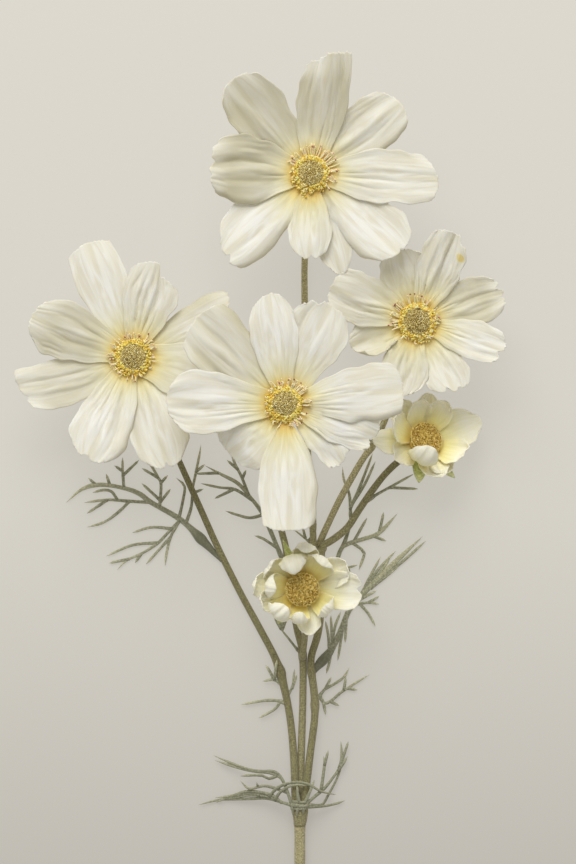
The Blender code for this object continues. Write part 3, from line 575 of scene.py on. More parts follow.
SHADES = {"collar_leaf": 0.45, "middle_leaf": 0.3}     # leaves that are darker all over
leaf_plastic = leaf_finish()
for index, (node, (stalk_r, swell, at_stem, lying, threads)) in enumerate(LEAVES.items()):
    bm = new_bmesh("along", "edge", "shade")
    shade = bm.verts.layers.float["shade"]
    root = threads[0][0]
    for number, thread in enumerate(threads):
        known = set(bm.verts)
        route = thread_route(thread, root, at_stem, lying)
        first_r = stalk_r if number == 0 else THREAD_R
        extra, extra_at = swell if number == 0 else (0.0, 0.0)
        width = thread_width(first_r, extra, extra_at, index + 0.37 * number)
        tube(bm, route, width, THREAD_SIDES, THREAD_FLATNESS)
        for dot in set(bm.verts) - known:
            foot = 1 - eased(extra_at, extra_at + 0.1, dot[bm.verts.layers.float["along"]])
            dot[shade] = SHADES.get(node, 0.0) + (0.8 * foot if extra > 0.5 else 0.0)
    spray_piece(node, bm, leaf_plastic)

# ---- Calyxes ----------------------------------------------------------------------------
# Behind each bloom sits a moulded green cup that the stem is glued into. Its rim opens in
# eight pointed sepals pressed against the backs of the petals.
# Each open bloom's middle, where its back petal layer lies, and the cup's profile from there
HEADS = {
    "top": (4.0, 273.6, 31.0),
    "left": (-60.1, 207.7, 25.0),
    "front": (-5.4, 190.8, 40.0),
    "right": (42.1, 220.3, 25.0),
}
HUB_R = 4.4
CALYX_PROFILE = [(0, -7.4), (1.5, -7.4), (1.9, -6.9), (2.0, -5.3), (2.6, -4.0), (3.5, -2.7),
                 (4.1, -1.2), (4.2, -0.35), (0, -0.35)]
CALYX_SIDES = 28
SEPALS = 8
SEPAL_FOOT = 3.0        # from the bloom's axis
SEPAL_LENGTH = 5.0
SEPAL_HALF = 1.25
SEPAL_THICK = 0.25


def bowl(radius):
    """Height of an open bloom's petals: up from the hub, then easing over."""
    reach = max(0.0, radius - HUB_R)
    return 0.20 * reach - 0.0028 * reach ** 2


def turned(bm, profile, sides, matrix):
    """Turns (radius, height) points about the bloom's axis and welds the shape shut."""
    dots = [bm.verts.new((r * MM, 0, z * MM)) for r, z in profile]
    edges = [bm.edges.new(pair) for pair in zip(dots, dots[1:])]
    spun = bmesh.ops.spin(bm, geom=dots + edges, cent=(0, 0, 0), axis=(0, 0, 1), angle=2 * math.pi,
                          steps=sides, use_merge=True)
    fresh = [item for item in spun["geom_last"] if isinstance(item, bmesh.types.BMVert)]
    whole = connected(fresh + dots)
    bmesh.ops.transform(bm, matrix=matrix, verts=whole)
    bmesh.ops.remove_doubles(bm, verts=whole, dist=0.004 * MM)


def connected(seeds):
    """All points joined by edges to the ones given."""
    found = {dot for dot in seeds if dot.is_valid}
    front = list(found)
    while front:
        dot = front.pop()
        for edge in dot.link_edges:
            other = edge.other_vert(dot)
            if other not in found:
                found.add(other)
                front.append(other)
    return list(found)


def faces_of(dots):
    """The faces round the given points."""
    return list({face for dot in dots for face in dot.link_faces})


def veiled(material, colour, factor, start, veil):
    """A colour under a veil where the factor is below start, clearing to nothing at 0.6."""
    return tinted(material, colour, add_ramp(material, factor, [(start, veil), (0.6, grey(1))]))


def calyx_finish():
    """Moulded green plastic, matt, a little yellower in its hollows."""
    material = new_finish("calyx_plastic", Roughness=0.6, Specular_IOR_Level=0.35,
                          Subsurface_Weight=0.3, Subsurface_Scale=0.002, Subsurface_Radius=(0.8, 1.0, 0.3))
    grain = surface_noise(material, 1200, 3.0, 0.6)
    patch = surface_noise(material, 160, 2.0)
    colour = add_ramp(material, patch, [(0.35, dye(198, 204, 150)), (0.65, dye(228, 231, 186))])
    connect(material, veiled(material, colour, grain, 0.4, dye(216, 216, 202)), None, grain, 0.3, 0.0002)
    return material


def open_sepal(bm, matrix, turn):
    """One pointed sepal: a grid narrowed to its tip and laid along the petals' backs."""
    grid = bmesh.ops.create_grid(bm, x_segments=10, y_segments=4, size=1.0)["verts"]
    for dot in grid:
        t, s = 0.5 * (dot.co.x + 1), dot.co.y
        run = SEPAL_FOOT + SEPAL_LENGTH * t
        side = s * SEPAL_HALF * (1 - t ** 1.8) + 0.04 * s
        height = bowl(run) - 0.65 - 0.25 * t + 0.5 * s * s * (1 - t)
        dot.co = Matrix.Rotation(turn, 3, "Z") @ Vector((run, side, height)) * MM
    bmesh.ops.solidify(bm, geom=faces_of(grid), thickness=SEPAL_THICK * MM)
    bmesh.ops.transform(bm, matrix=matrix, verts=connected(grid))


green_plastic = calyx_finish()
for name, head in HEADS.items():
    bm = new_bmesh()
    seat = Matrix.Translation(on_spray(head))
    turned(bm, CALYX_PROFILE, CALYX_SIDES, seat)
    for k in range(SEPALS):
        open_sepal(bm, seat, 2 * math.pi * (k + 0.3) / SEPALS)
    spray_piece(name + "_calyx", bm, green_plastic)

# ---- Open blooms' petals ----------------------------------------------------------------
# Each open bloom has two crossed layers of ivory polyester cloth, die-cut with their hub,
# heat-pressed into shallow pleated petals, dyed yellow at the foot and bent in packing.
PETAL_THICK = 0.3
LAYER_STEP = 1.0
FREE_R = 13.0           # beyond this radius a petal lifts and curls on its own
CLEARANCE = 0.55        # how far a petal under another stays below it
PETAL_ROWS = 76
PETAL_COLUMNS = 46
HUB_CLOTH_R = HUB_R + 1.2
HUB_DROP = 0.05         # how far the hub lies under the feet of its petals
DYE_SCALE = 50.0        # the reach from the middle that the dye counts as 1
ABOVE_ALL = 40.0        # a height over every petal
# A fold is (place across, its width, height, where it starts and ends along the petal); a rim
# is rolled back as (side, width, degrees, start, end); a nick is (place across, width, depth);
# a step is (side, place across, depth); a spot is a yellow stain at (place along, place across).
# A petal's painted shade, from 0 to 1, darkens it to beige along the middle of its length, standing in for
# the shade that petals tilted from the light lie in.
PLAIN_CUT = {"curl": 0.0, "sway": 0.0, "foot": 0.40, "belly": 0.62, "end": 0.66,
             "rounding": 0.10, "pleat": 0.45, "pleats": 7, "crease": 0.35, "wave": 0.8, "ragged": 0.5,
             "droop": 0.0, "slant": 0.0, "stain": 1.0, "dull": 0.0, "spot": None,
             "folds": (), "rims": (), "nicks": (), "steps": ()}


def petal(turn, length, width, lift, **rest):
    """A petal's direction, length, width and lift, and where it differs from the plain cut."""
    return PLAIN_CUT | {"turn": turn, "length": length, "width": width, "lift": lift} | rest


# Petals that lie in shade are given painted shade among their values.
PETALS = {
    "top_petals_back": [
        petal(38, 40.5, 20.5, 3, dull=0.25, end=0.78, wave=0.4, slant=-0.5,
              folds=[(0.05, 0.12, 1.6, 0.1, 0.9), (0.5, 0.08, -0.6, 0.2, 0.9),
              (-0.3, 0.05, -0.5, 0.1, 0.9)], rims=[(-1, 2.6, 70, 0.35, 1.0)]),
        petal(131, 43.5, 21.5, 9, dull=0.65, end=0.74, belly=0.68, pleat=0.4,
              folds=[(0.25, 0.05, 0.6, 0.2, 0.8), (0.62, 0.1, -1.0, 0.2, 1.0)],
              rims=[(1, 2.6, -70, 0.5, 1.0)], curl=1.5),
        petal(-136, 43, 21.5, 1, end=0.72, belly=0.72, slant=2.0, pleat=0.5,
              folds=[(0.45, 0.12, 0.9, 0.3, 1.0), (0.2, 0.05, -0.6, 0.45, 1.0)],
              rims=[(1, 3.4, 75, 0.3, 1.0)], nicks=[(0.15, 0.12, 1.6)], stain=1.15),
        petal(-42, 43, 22.5, 2, end=0.76, belly=0.68, slant=1.5, pleat=0.3,
              rims=[(-1, 3.4, 80, 0.35, 1.0)], nicks=[(0.1, 0.08, 1.2)]),
        petal(-73, 38, 13, -2, end=0.55, pleat=0.3, dull=0.25),
    ],
    "top_petals_front": [
        petal(-3, 45.5, 19.5, 3, belly=0.5, end=0.82, slant=-2.0, dull=0.15,
              folds=[(-0.12, 0.06, -0.9, 0.08, 0.75), (-0.45, 0.05, -0.7, 0.1, 0.6),
              (0.2, 0.07, 0.6, 0.15, 0.9)]),
        petal(81, 42.5, 18.5, 10, dull=0.75, belly=0.6, end=0.80, slant=-3.5, rounding=0.04, ragged=1.0,
              droop=0.5, crease=0.7, foot=0.5, folds=[(-0.3, 0.07, -0.7, 0.35, 1.0),
              (0.35, 0.06, 0.7, 0.1, 0.9), (0.0, 0.06, 0.5, 0.0, 0.5), (-0.6, 0.1, -1.2, 0.6, 1.0)]),
        petal(177, 36.5, 25, 7, dull=1.0, belly=0.6, end=0.78, pleat=0.9, crease=0.7, ragged=0.8,
              folds=[(-0.15, 0.08, -1.3, 0.3, 1.0), (0.1, 0.07, 1.0, 0.25, 1.0),
              (0.35, 0.07, -0.9, 0.3, 1.0)], nicks=[(-0.2, 0.12, 1.6), (0.3, 0.1, 1.2)],
              rims=[(1, 3.2, 70, 0.3, 1.0)]),
        petal(-91, 31, 15.5, 1, belly=0.66, end=0.66, pleat=0.4, stain=1.15, dull=0.15,
              folds=[(0.25, 0.12, 1.0, 0.3, 1.0), (-0.4, 0.15, 0.8, 0.3, 1.0)], nicks=[(0.1, 0.15, 1.4)]),
    ],
    "left_petals_back": [
        petal(112, 44, 18.5, 0, belly=0.7, end=0.84, pleat=0.3, rounding=0.06, curl=-1,
              folds=[(-0.3, 0.06, -0.5, 0.2, 0.8)]),
        petal(30, 40, 15, -1, dull=0.4, rims=[(1, 5.0, 75, 0.0, 0.75)], crease=0.15, pleat=0.25,
              slant=3.0, end=0.74),
        petal(-71.5, 42, 20.5, 1, belly=0.7, end=0.68, pleat=0.7, crease=0.5,
              folds=[(-0.85, 0.12, -1.4, 0.0, 0.9), (-0.2, 0.08, 1.0, 0.1, 0.9),
              (0.25, 0.08, 0.7, 0.2, 1.0), (0.0, 0.06, -0.8, 0.1, 1.0)], nicks=[(-0.1, 0.12, 2.0)],
              rims=[(1, 2.6, 70, 0.4, 1.0)], dull=0.15),
        petal(-158, 42, 17.5, 1, dull=0.6, belly=0.62, end=0.84, pleat=0.6, rounding=0.04, sway=-4.0,
              slant=-0.8, folds=[(-0.2, 0.06, -0.8, 0.2, 0.95), (0.3, 0.07, 0.8, 0.2, 0.9)],
              nicks=[(0.35, 0.15, 1.2)], ragged=0.6),
    ],
    "left_petals_front": [
        petal(74, 35, 20, 2, dull=0.12, belly=0.66, end=0.82, pleat=0.6, crease=0.7,
              folds=[(-0.2, 0.07, -1.1, 0.1, 1.0), (-0.05, 0.05, 1.3, 0.1, 0.95),
              (0.2, 0.06, 1.0, 0.1, 0.95), (0.45, 0.05, 0.8, 0.2, 0.9)], steps=[(-1, 0.14, 4.5)],
              nicks=[(-0.12, 0.08, 1.5)]),
        petal(-15, 36, 21.5, -2, dull=0.3, foot=0.55, crease=0.1, pleat=0.25, wave=0.4),
        petal(-113, 40.5, 22, 1.5, belly=0.72, end=0.70, pleat=0.6, crease=0.5,
              folds=[(0.1, 0.07, 1.0, 0.15, 0.9), (-0.3, 0.08, 0.7, 0.2, 0.9),
              (0.4, 0.07, -0.8, 0.3, 1.0)], rims=[(1, 2.8, 66, 0.45, 1.0)], nicks=[(-0.15, 0.2, 1.5)],
              ragged=0.6),
        petal(159, 39, 21, 5, dull=0.8, belly=0.66, end=0.74, pleat=0.7, crease=0.5,
              folds=[(-0.1, 0.06, 0.9, 0.15, 0.8), (0.2, 0.08, -0.9, 0.2, 0.8),
              (-0.4, 0.07, -0.8, 0.2, 0.8)]),
    ],
    "front_petals_back": [
        petal(66, 39, 22.5, 2, dull=0.12, belly=0.7, end=0.78, pleat=0.4,
              folds=[(0.5, 0.08, -0.8, 0.2, 1.0), (0.85, 0.1, 0.6, 0.3, 1.0),
              (-0.2, 0.06, 0.6, 0.3, 0.9)], nicks=[(0.42, 0.10, 1.6)], ragged=0.6),
        petal(-36, 29, 15.5, -2, sway=-4, end=0.78, pleat=0.4, nicks=[(0.3, 0.1, 1.0)], ragged=0.6),
        petal(-137, 26.8, 23, -5, belly=0.7, end=0.80, pleat=0.3, droop=1.0),
        petal(138.5, 44, 23.5, 3, dull=0.5, belly=0.7, end=0.9, pleat=0.6, sway=-1.5,
              folds=[(0.25, 0.09, 1.1, 0.25, 1.0), (0.0, 0.07, -1.0, 0.3, 1.0),
              (0.62, 0.1, -0.8, 0.2, 1.0)], rims=[(-1, 4.0, 65, 0.45, 0.85)]),
    ],
    "front_petals_front": [
        petal(99, 39.5, 17, 0, belly=0.64, end=0.72, curl=-1, folds=[(-0.35, 0.06, -0.7, 0.1, 0.8),
              (0.2, 0.06, 0.5, 0.1, 0.8)], slant=-1.0),
        petal(7, 42.5, 21.5, 2, belly=0.74, end=0.86, pleat=0.2, rounding=0.06, wave=0.5, foot=0.34,
              rims=[(-1, 3.4, 80, 0.5, 1.0)]),
        petal(-18, 35, 17, -3, belly=0.74, end=0.82, pleat=0.3, nicks=[(-0.4, 0.18, 2.2)], ragged=0.6,
              crease=0.5),
        petal(-87.5, 45.5, 21, 3, foot=0.12, belly=0.54, end=0.84, rounding=0.05, pleat=0.3, curl=-2.2,
              stain=1.2, crease=0.5, folds=[(0.5, 0.07, -0.6, 0.4, 1.0), (-0.1, 0.1, 0.5, 0.3, 1.0)],
              rims=[(1, 2.6, 66, 0.3, 1.0)], ragged=0.5),
        petal(179, 42.3, 23, 2, belly=0.70, end=0.72, pleat=0.5, folds=[(0.2, 0.1, -0.9, 0.45, 1.0),
              (-0.15, 0.1, 0.7, 0.3, 0.95)]),
    ],
    "right_petals_back": [
        petal(105, 26.5, 17, 3.5, dull=0.3, belly=0.7, end=0.82, pleat=0.2, ragged=0.6),
        petal(19, 33, 17.5, 1, dull=0.85, belly=0.6, end=0.72, pleat=0.7, crease=0.5,
              folds=[(0.15, 0.07, -1.0, 0.2, 1.0), (-0.15, 0.07, 1.0, 0.2, 1.0),
              (-0.45, 0.07, -0.8, 0.2, 0.9)], nicks=[(0.35, 0.12, 2.4), (-0.2, 0.1, 1.4)], ragged=0.8),
        petal(-61, 28.5, 16.5, 1, belly=0.7, end=0.8, pleat=0.4, slant=1.5, nicks=[(-0.35, 0.15, 1.8),
              (0.3, 0.12, 1.2)], folds=[(0.45, 0.08, 0.8, 0.2, 1.0)], dull=0.15),
        petal(-161, 25.5, 17.5, 0, dull=0.15, belly=0.6, end=0.66, pleat=0.2, curl=1.0, rounding=0.2,
              rims=[(1, 4.5, -100, 0.15, 1.0)], folds=[(0.1, 0.25, -1.6, 0.2, 1.0)]),
    ],
    "right_petals_front": [
        petal(68, 34.5, 16.5, 5, dull=0.25, belly=0.6, end=0.78, rounding=0.06, pleat=0.8, crease=0.9,
              folds=[(0.55, 0.08, 1.0, 0.1, 0.9), (0.1, 0.07, 1.1, 0.2, 1.0),
              (-0.2, 0.06, -1.1, 0.2, 1.0)], steps=[(-1, 0.55, 2.2)], ragged=0.6, spot=(0.80, -0.72)),
        petal(-18, 33, 14, 3, belly=0.66, end=0.8, pleat=0.5, nicks=[(-0.3, 0.2, 1.8)],
              folds=[(-0.3, 0.1, 0.6, 0.5, 1.0)], ragged=0.6),
        petal(-105, 27, 17.5, -1, dull=0.3, belly=0.66, end=0.7, pleat=0.8, crease=0.7,
              folds=[(0.1, 0.08, -1.2, 0.2, 1.0), (-0.35, 0.08, 0.9, 0.2, 1.0)]),
        petal(158.5, 33.5, 19, 4, dull=0.4, belly=0.66, end=0.82, pleat=0.6, crease=0.6,
              folds=[(0.0, 0.07, 0.8, 0.2, 0.9), (0.35, 0.07, -0.8, 0.2, 0.9)]),
    ],
}


def petal_point(cut, t, s, seed):
    """Where a petal's cloth lies, from its bloom's middle: t along it, s across it from -1 to 1.
    The fourth number is the painted shade there, in its fold valleys and rolled rims."""
    length = cut["length"]
    if t < cut["belly"]:
        spread = cut["foot"] + (1 - cut["foot"]) * math.sin(0.5 * math.pi * t / cut["belly"]) ** 1.3
    else:
        spread = 1.0 - (1 - cut["end"]) * ((t - cut["belly"]) / (1 - cut["belly"])) ** 2.4
    edge = 1 + 0.11 * wander(5.5 * t, 3 * math.copysign(1, s), seed) * abs(s) ** 3
    half = 0.5 * cut["width"] * spread * edge
    run = HUB_R + (length - HUB_R) * t * (1 - cut["rounding"] * abs(s) ** 2.2 * t ** 3)
    run += cut["slant"] * s * t ** 4
    for at, width, depth in cut["nicks"]:
        run -= depth * math.exp(-((s - at) / width) ** 2) * t ** 9
    for which, start, depth in cut["steps"]:
        run -= depth * eased(start - 0.08, start + 0.08, s * which) * t ** 3
    run += cut["ragged"] * (wander(7 * s, seed, 4.0)
                            + 0.8 * wander(19 * s, seed, 8.0)) * t ** 12
    free = max(0.0, (run - FREE_R) / (length - FREE_R))
    side = s * half
    roll = 0.0
    painted_fold_shade = 0.0
    for which, width, degrees, start, end in cut["rims"]:
        over = s * which * half - (half - width)
        if over > 0:
            bend = math.radians(degrees) * eased(start - 0.1, start + 0.15, t)
            if abs(bend) > 0.01:
                radius = width / bend
                side = which * (half - width + radius * math.sin(over / radius))
                roll -= radius * (1 - math.cos(over / radius))
                # Painted shade on a rolled rim, deeper toward its edge.
                painted_fold_shade = max(painted_fold_shade, 0.8 * over / width * eased(start - 0.1, start + 0.15, t))
    side += cut["sway"] * free ** 2
    height = bowl(math.hypot(run, s * half)) + cut["lift"] * free ** 1.3
    height += cut["curl"] * s * s * min(1, 1.2 * free) + roll
    height -= cut["droop"] * eased(0.75, 1.05, t) * 2
    firm = eased(0.06, 0.3, t) * (1 - 0.45 * t)
    soft = wander(0.35 * cut["pleats"] * s + seed, 1.1 * t, 0.4 * seed)
    sharp = 1 - 3 * abs(wander(0.6 * cut["pleats"] * s + 1.7 * seed, 0.8 * t + 5, 3.1))
    height += cut["pleat"] * (1.1 * soft + 0.14 * sharp) * firm
    height += 0.10 * cut["pleat"] * wander(2.0 * cut["pleats"] * s + seed, 1.6 * t, 9.1) * firm
    patch = eased(0.0, 0.35, wander(1.9 * s + seed, 2.8 * t, 1.7 * seed))
    bent = 7 * s + 1.3 * wander(2.6 * t, 1.5 * s, seed + 21)
    height += cut["crease"] * (1 - 2.6 * abs(wander(bent, 1.3 * t, seed + 6))) * patch * firm
    height += cut["wave"] * wander(1.3 * s, 2.0 * t, seed + 11) * 2 * free
    height += 0.7 * wander(4.5 * t, 5 * math.copysign(1, s), seed + 3) * abs(s) ** 4 * free
    for at, width, high, start, end in cut["folds"]:
        fade = eased(start, start + 0.25, t) * (1 - eased(end - 0.25, end + 0.1, t))
        strays = at + 0.16 * wander(2.2 * t, 7 * at, seed)
        line = math.exp(-((s - strays) / (1.3 * width)) ** 2) * fade
        height += 0.7 * high * line
        # Painted shade in the valley of a fold.
        painted_fold_shade += max(0.0, -0.3 * high) * line
    return run, side, height, painted_fold_shade


def new_cloth(hub_r, segments, lift, *layers):
    """A mesh with the round hub of one petal layer, facing up, and its cut map."""
    bm = new_bmesh(*layers)
    bm.loops.layers.uv.new("cut")
    bmesh.ops.create_circle(bm, cap_ends=True, radius=hub_r, segments=segments,
                            matrix=Matrix.Translation((0, 0, lift - HUB_DROP)))
    bmesh.ops.reverse_faces(bm, faces=[face for face in bm.faces if face.normal.z < 0])
    return bm


def cloth_grid(bm, rows, columns):
    """A flat grid of cloth, -1 to 1 both ways, with its place in the cut noted in the map."""
    cut_map = bm.loops.layers.uv["cut"]
    grid = bmesh.ops.create_grid(bm, x_segments=rows, y_segments=columns, size=1.0)["verts"]
    for face in faces_of(grid):
        for loop in face.loops:
            loop[cut_map].uv = (0.5 * loop.vert.co.x + 0.5, 0.5 * loop.vert.co.y + 0.5)
    return grid


def turned_spot(degrees, run, side, height):
    """A place given along, across and over a petal, turned to the petal's direction."""
    angle = math.radians(degrees)
    return (run * math.cos(angle) - side * math.sin(angle),
            run * math.sin(angle) + side * math.cos(angle), height)


def add_petal(bm, cut, lift, seed):
    """A grid of cloth cut and bent to its petal, with its reach, rim and painted shade noted for its colour.
    """
    reach, rim, dull = [bm.verts.layers.float[layer] for layer in ("reach", "rim", "dull")]
    grid = cloth_grid(bm, PETAL_ROWS, PETAL_COLUMNS)
    for dot in grid:
        t, s = 0.5 * (dot.co.x + 1), dot.co.y
        run, side, height, painted_fold_shade = petal_point(cut, t, s, seed)
        dot[reach] = math.hypot(run, side) / (DYE_SCALE * cut["stain"])
        if cut["spot"]:
            near = math.exp(-((t - cut["spot"][0]) / 0.06) ** 2 - ((s - cut["spot"][1]) / 0.2) ** 2)
            dot[reach] += (0.17 - dot[reach]) * min(1, 2 * near)
        dot[rim] = max(abs(s) ** 6, t ** 10)
        # Painted shade: the petal's own amount, uneven and weaker at its foot and end, plus the painted shade
        # of its fold valleys and rolled rims.
        spotty = 0.75 + 0.5 * wander(1.5 * s, 2.0 * t, seed + 31)
        dot[dull] = cut["dull"] * spotty * eased(0.08, 0.35, t) * (1 - 0.7 * eased(0.7, 1.0, t)) + painted_fold_shade
        dot.co = turned_spot(cut["turn"], run, side, height + lift)
    return grid


def cloth_finish(name, see_through):
    """Thin matt polyester cloth that lets some light through."""
    return new_finish(name, Roughness=0.8, Sheen_Weight=0.15, Sheen_Roughness=0.5,
                      Subsurface_Weight=see_through, Subsurface_Scale=0.0012,
                      Specular_IOR_Level=0.25, Subsurface_Radius=(1.0, 0.9, 0.6))


def long_noise(material, stretch, **settings):
    """Noise on the cut map, stretched along the petal."""
    place = add_node(material, "UVMap", uv_map="cut").outputs["UV"]
    drawn = add_node(material, "Mapping", {"Vector": place, "Scale": stretch}).outputs["Vector"]
    return add_node(material, "TexNoise", {"Vector": drawn, "Scale": 1.0, **settings}).outputs["Fac"]


def figured(material, operation, *values):
    """Numbers or outputs put through one sum."""
    return add_node(material, "Math", dict(enumerate(values)), operation=operation).outputs[0]


def petal_finish():
    """Ivory cloth: golden yellow at the foot along the veins, with beige painted shade on petals that lie in
    shade, in fold valleys, on rolled rims and in long streaks.
    """
    material = cloth_finish("petal_cloth", 0.25)
    reach = noted(material, "reach")
    rim = noted(material, "rim")
    dull = noted(material, "dull")
    vein = long_noise(material, (1.6, 34.0, 1.0), Detail=3.0, Roughness=0.6)
    fibre = surface_noise(material, 3200, 2.0, 0.6)
    blot = surface_noise(material, 38, 2.0)
    dyed = figured(material, "SUBTRACT", reach, figured(material, "MULTIPLY", vein, 0.12))
    foot = add_ramp(material, dyed, [(0.07, dye(238, 202, 116)), (0.11, dye(241, 221, 152)),
                                     (0.15, dye(243, 234, 192)), (0.24, dye(245, 243, 226)),
                                     (0.36, dye(246, 245, 242))])
    ivory = mix(material, blot, dye(246, 244, 237), dye(255, 255, 255))
    colour = tinted(material, foot, ivory)
    veined = veiled(material, colour, vein, 0.35, dye(251, 250, 243))
    # Painted shade: long soft beige streaks along the petal stand in for the shade of its folds.
    broad = long_noise(material, (2.4, 7.5, 1.0), Detail=2.0, Distortion=0.8)
    with_painted_streaks = veiled(material, veined, broad, 0.38, dye(242, 239, 231))
    # Painted shade: the colour goes to beige by the painted shade noted on the cloth.
    dulled = mix(material, dull, with_painted_streaks, dye(195, 189, 164))
    edged = mix(material, figured(material, "MULTIPLY", rim, 0.2), dulled, dye(232, 228, 208))
    relief = figured(material, "MULTIPLY_ADD", fibre, 0.35, figured(material, "MULTIPLY", vein, 0.4))
    connect(material, edged, None, relief, 0.20, 0.0003)
    return material


def petal_layer(layer, seed, over=None):
    """All petals of one layer round their hub, lying under the layer that is over them."""
    lift = LAYER_STEP if layer.endswith("front") else 0.0
    bm = new_cloth(HUB_CLOTH_R, 48, lift, "reach", "rim", "dull")
    for dot in bm.verts:
        dot[bm.verts.layers.float["reach"]] = 0.1
    for number, cut in enumerate(PETALS[layer]):
        grid = add_petal(bm, cut, lift, seed + 2.3 * number)
        if over is None:
            continue
        for dot in grid:
            above = over.ray_cast(dot.co + Vector((0, 0, ABOVE_ALL)), Vector((0, 0, -1)))[0]
            if above and dot.co.z > above.z - CLEARANCE and dot.co.xy.length > HUB_R:
                dot.co.z = above.z - CLEARANCE
        bmesh.ops.smooth_vert(bm, verts=grid, factor=0.5, use_axis_z=True)
    return bm


def cloth_piece(node, bm, material, place):
    """A petal layer put in its place, with the cloth's thickness on its upper side."""
    bmesh.ops.transform(bm, matrix=place, verts=bm.verts)
    cloth = spray_piece(node, bm, material, solid=False).modifiers.new("cloth", "SOLIDIFY")
    cloth.thickness = PETAL_THICK * MM
    cloth.offset = 1.0
    cloth.use_even_offset = False


petal_cloth = petal_finish()
for index, (name, head) in enumerate(HEADS.items()):
    front = petal_layer(name + "_petals_front", 5.3 * index + 1)
    back = petal_layer(name + "_petals_back", 5.3 * index + 3, BVHTree.FromBMesh(front))
    place = Matrix.Translation(on_spray(head)) @ Matrix.Scale(MM, 4)
    cloth_piece(name + "_petals_back", back, petal_cloth, place)
    cloth_piece(name + "_petals_front", front, petal_cloth, place)

# ---- Buttons ----------------------------------------------------------------------------
# The middle of an open bloom is a domed button of foam covered in tiny flocked seeds, set
# in the spiral of a real flower head: olive, brown and straw-coloured.
BUTTON_R = {"top": 5.1, "left": 5.1, "front": 4.9, "right": 5.3}
BUTTON_HEIGHT = 3.6
SEAT = LAYER_STEP + PETAL_THICK + 0.3
DOME_FOOT = SEAT + 0.6
DOME_RISE = BUTTON_HEIGHT - 0.9
DOME_STEPS = 9
DOME_SIDES = 32
SEEDS = 520
SEED_R = 0.26
GOLDEN_TURN = math.radians(137.508)


def seed_finish(name, tones):
    """Flocked seeds, each in its own tone."""
    material = new_finish(name, Roughness=0.9, Sheen_Weight=0.2)
    tone = noted(material, "tone")
    grain = surface_noise(material, 2600, 2.0, 0.7)
    colour = add_ramp(material, tone, list(zip((0.0, 0.3, 0.6, 1.0), tones)))
    connect(material, veiled(material, colour, grain, 0.4, dye(222, 220, 208)), None, grain, 0.2, 0.0001)
    return material


def around(radius, turn, height):
    """A place round a bloom's axis."""
    return Vector((radius * math.cos(turn), radius * math.sin(turn), height))


def add_grain(bm, place, radius, tone):
    """One small rounded grain with its own tone."""
    grain = bmesh.ops.create_icosphere(bm, subdivisions=1, radius=radius, matrix=place)["verts"]
    for dot in grain:
        dot[bm.verts.layers.float["tone"]] = tone


button_seeds = seed_finish("button_seeds", [dye(132, 108, 52), dye(218, 194, 112), dye(244, 224, 146),
                                            dye(255, 250, 206)])
for index, (name, head) in enumerate(HEADS.items()):
    chance = random.Random(31 + index)
    bm = new_bmesh("tone")
    button_r = BUTTON_R[name]
    profile = [(0, SEAT - 0.2), (button_r, SEAT - 0.2), (button_r, DOME_FOOT)]
    for i in range(1, DOME_STEPS):
        turn = math.radians(90 * i / DOME_STEPS)
        profile.append((button_r * math.cos(turn), DOME_FOOT + DOME_RISE * math.sin(turn)))
    profile.append((0, SEAT + BUTTON_HEIGHT - 0.3))
    turned(bm, profile, DOME_SIDES, Matrix.Identity(4))
    for k in range(SEEDS):
        polar = math.acos(1 - 0.93 * (k + 0.5) / SEEDS)
        turn = k * GOLDEN_TURN
        radius = button_r * math.sin(polar)
        spot = around(radius, turn, DOME_FOOT + DOME_RISE * math.cos(polar))
        spot += Vector([chance.uniform(-0.08, 0.08) for _ in range(3)])
        add_grain(bm, Matrix.Translation(spot * MM), SEED_R * chance.uniform(0.75, 1.25) * MM,
                  chance.betavariate(1.6, 1.6))
    bmesh.ops.transform(bm, matrix=Matrix.Translation(on_spray(head)), verts=bm.verts)
    spray_piece(name + "_button", bm, button_seeds)

# ---- Stamens ----------------------------------------------------------------------------
# Round the button stand yellow flocked anthers on short threads, and outside them peach
# plastic filaments that hook inward and end in maroon tips. They come as one crimped ring.
ANTHERS = 460
ANTHER_R = 0.38
ANTHER_SHAPE = (1.35, 0.85, 0.9, 1.0)
RING_SIDES = 40
RING_TONE = 0.22
FILAMENTS = 46
FILAMENT_R = 0.2
FILAMENT_SIDES = 6
FILAMENT_STEP = 0.7
PLAIN_REACH = (7.4, 9.2)
TIPPED_REACH = (8.0, 9.6)
PLAIN_TIP_R = 0.26
MAROON_TIP_R = 0.32
# Where most of a bloom's filaments still stand, in degrees, how one-sided that is, how much
# longer they are on that side, and the directions of those that keep their maroon tips
FILAMENT_LEAN = {
    "top": (62, 0.7, 1.8, [140, 85, 76, 45, 30, 6, -37]),
    "left": (100, 0.3, 0.3, [112, 68, 52, -80, 185]),
    "front": (30, 0.6, 0.7, [110, 79, 68, 49, 3, -30, -55]),
    "right": (140, 0.4, 1.2, [188, 179, 151, 138, 111, 96, 74, 17, 5]),
}


def stamen_finish():
    """Dyed threads by tone: 0 old gold, 0.3 lemon, 0.42 cream, 0.6 peach, 1 reddish brown."""
    material = new_finish("stamen_thread", Roughness=0.7, Subsurface_Weight=0.2, Subsurface_Scale=0.0005)
    tone = noted(material, "tone")
    grain = surface_noise(material, 1400, 2.0, 0.6)
    colour = add_ramp(material, tone, [(0.0, dye(222, 184, 70)), (0.15, dye(246, 214, 92)),
                                       (0.30, dye(255, 238, 140)), (0.42, dye(255, 244, 198)),
                                       (0.6, dye(255, 232, 204)), (0.8, dye(204, 132, 106)),
                                       (1.0, dye(144, 78, 60))])
    connect(material, veiled(material, colour, grain, 0.35, dye(238, 232, 216)), None, grain, 0.2, 0.0001)
    return material


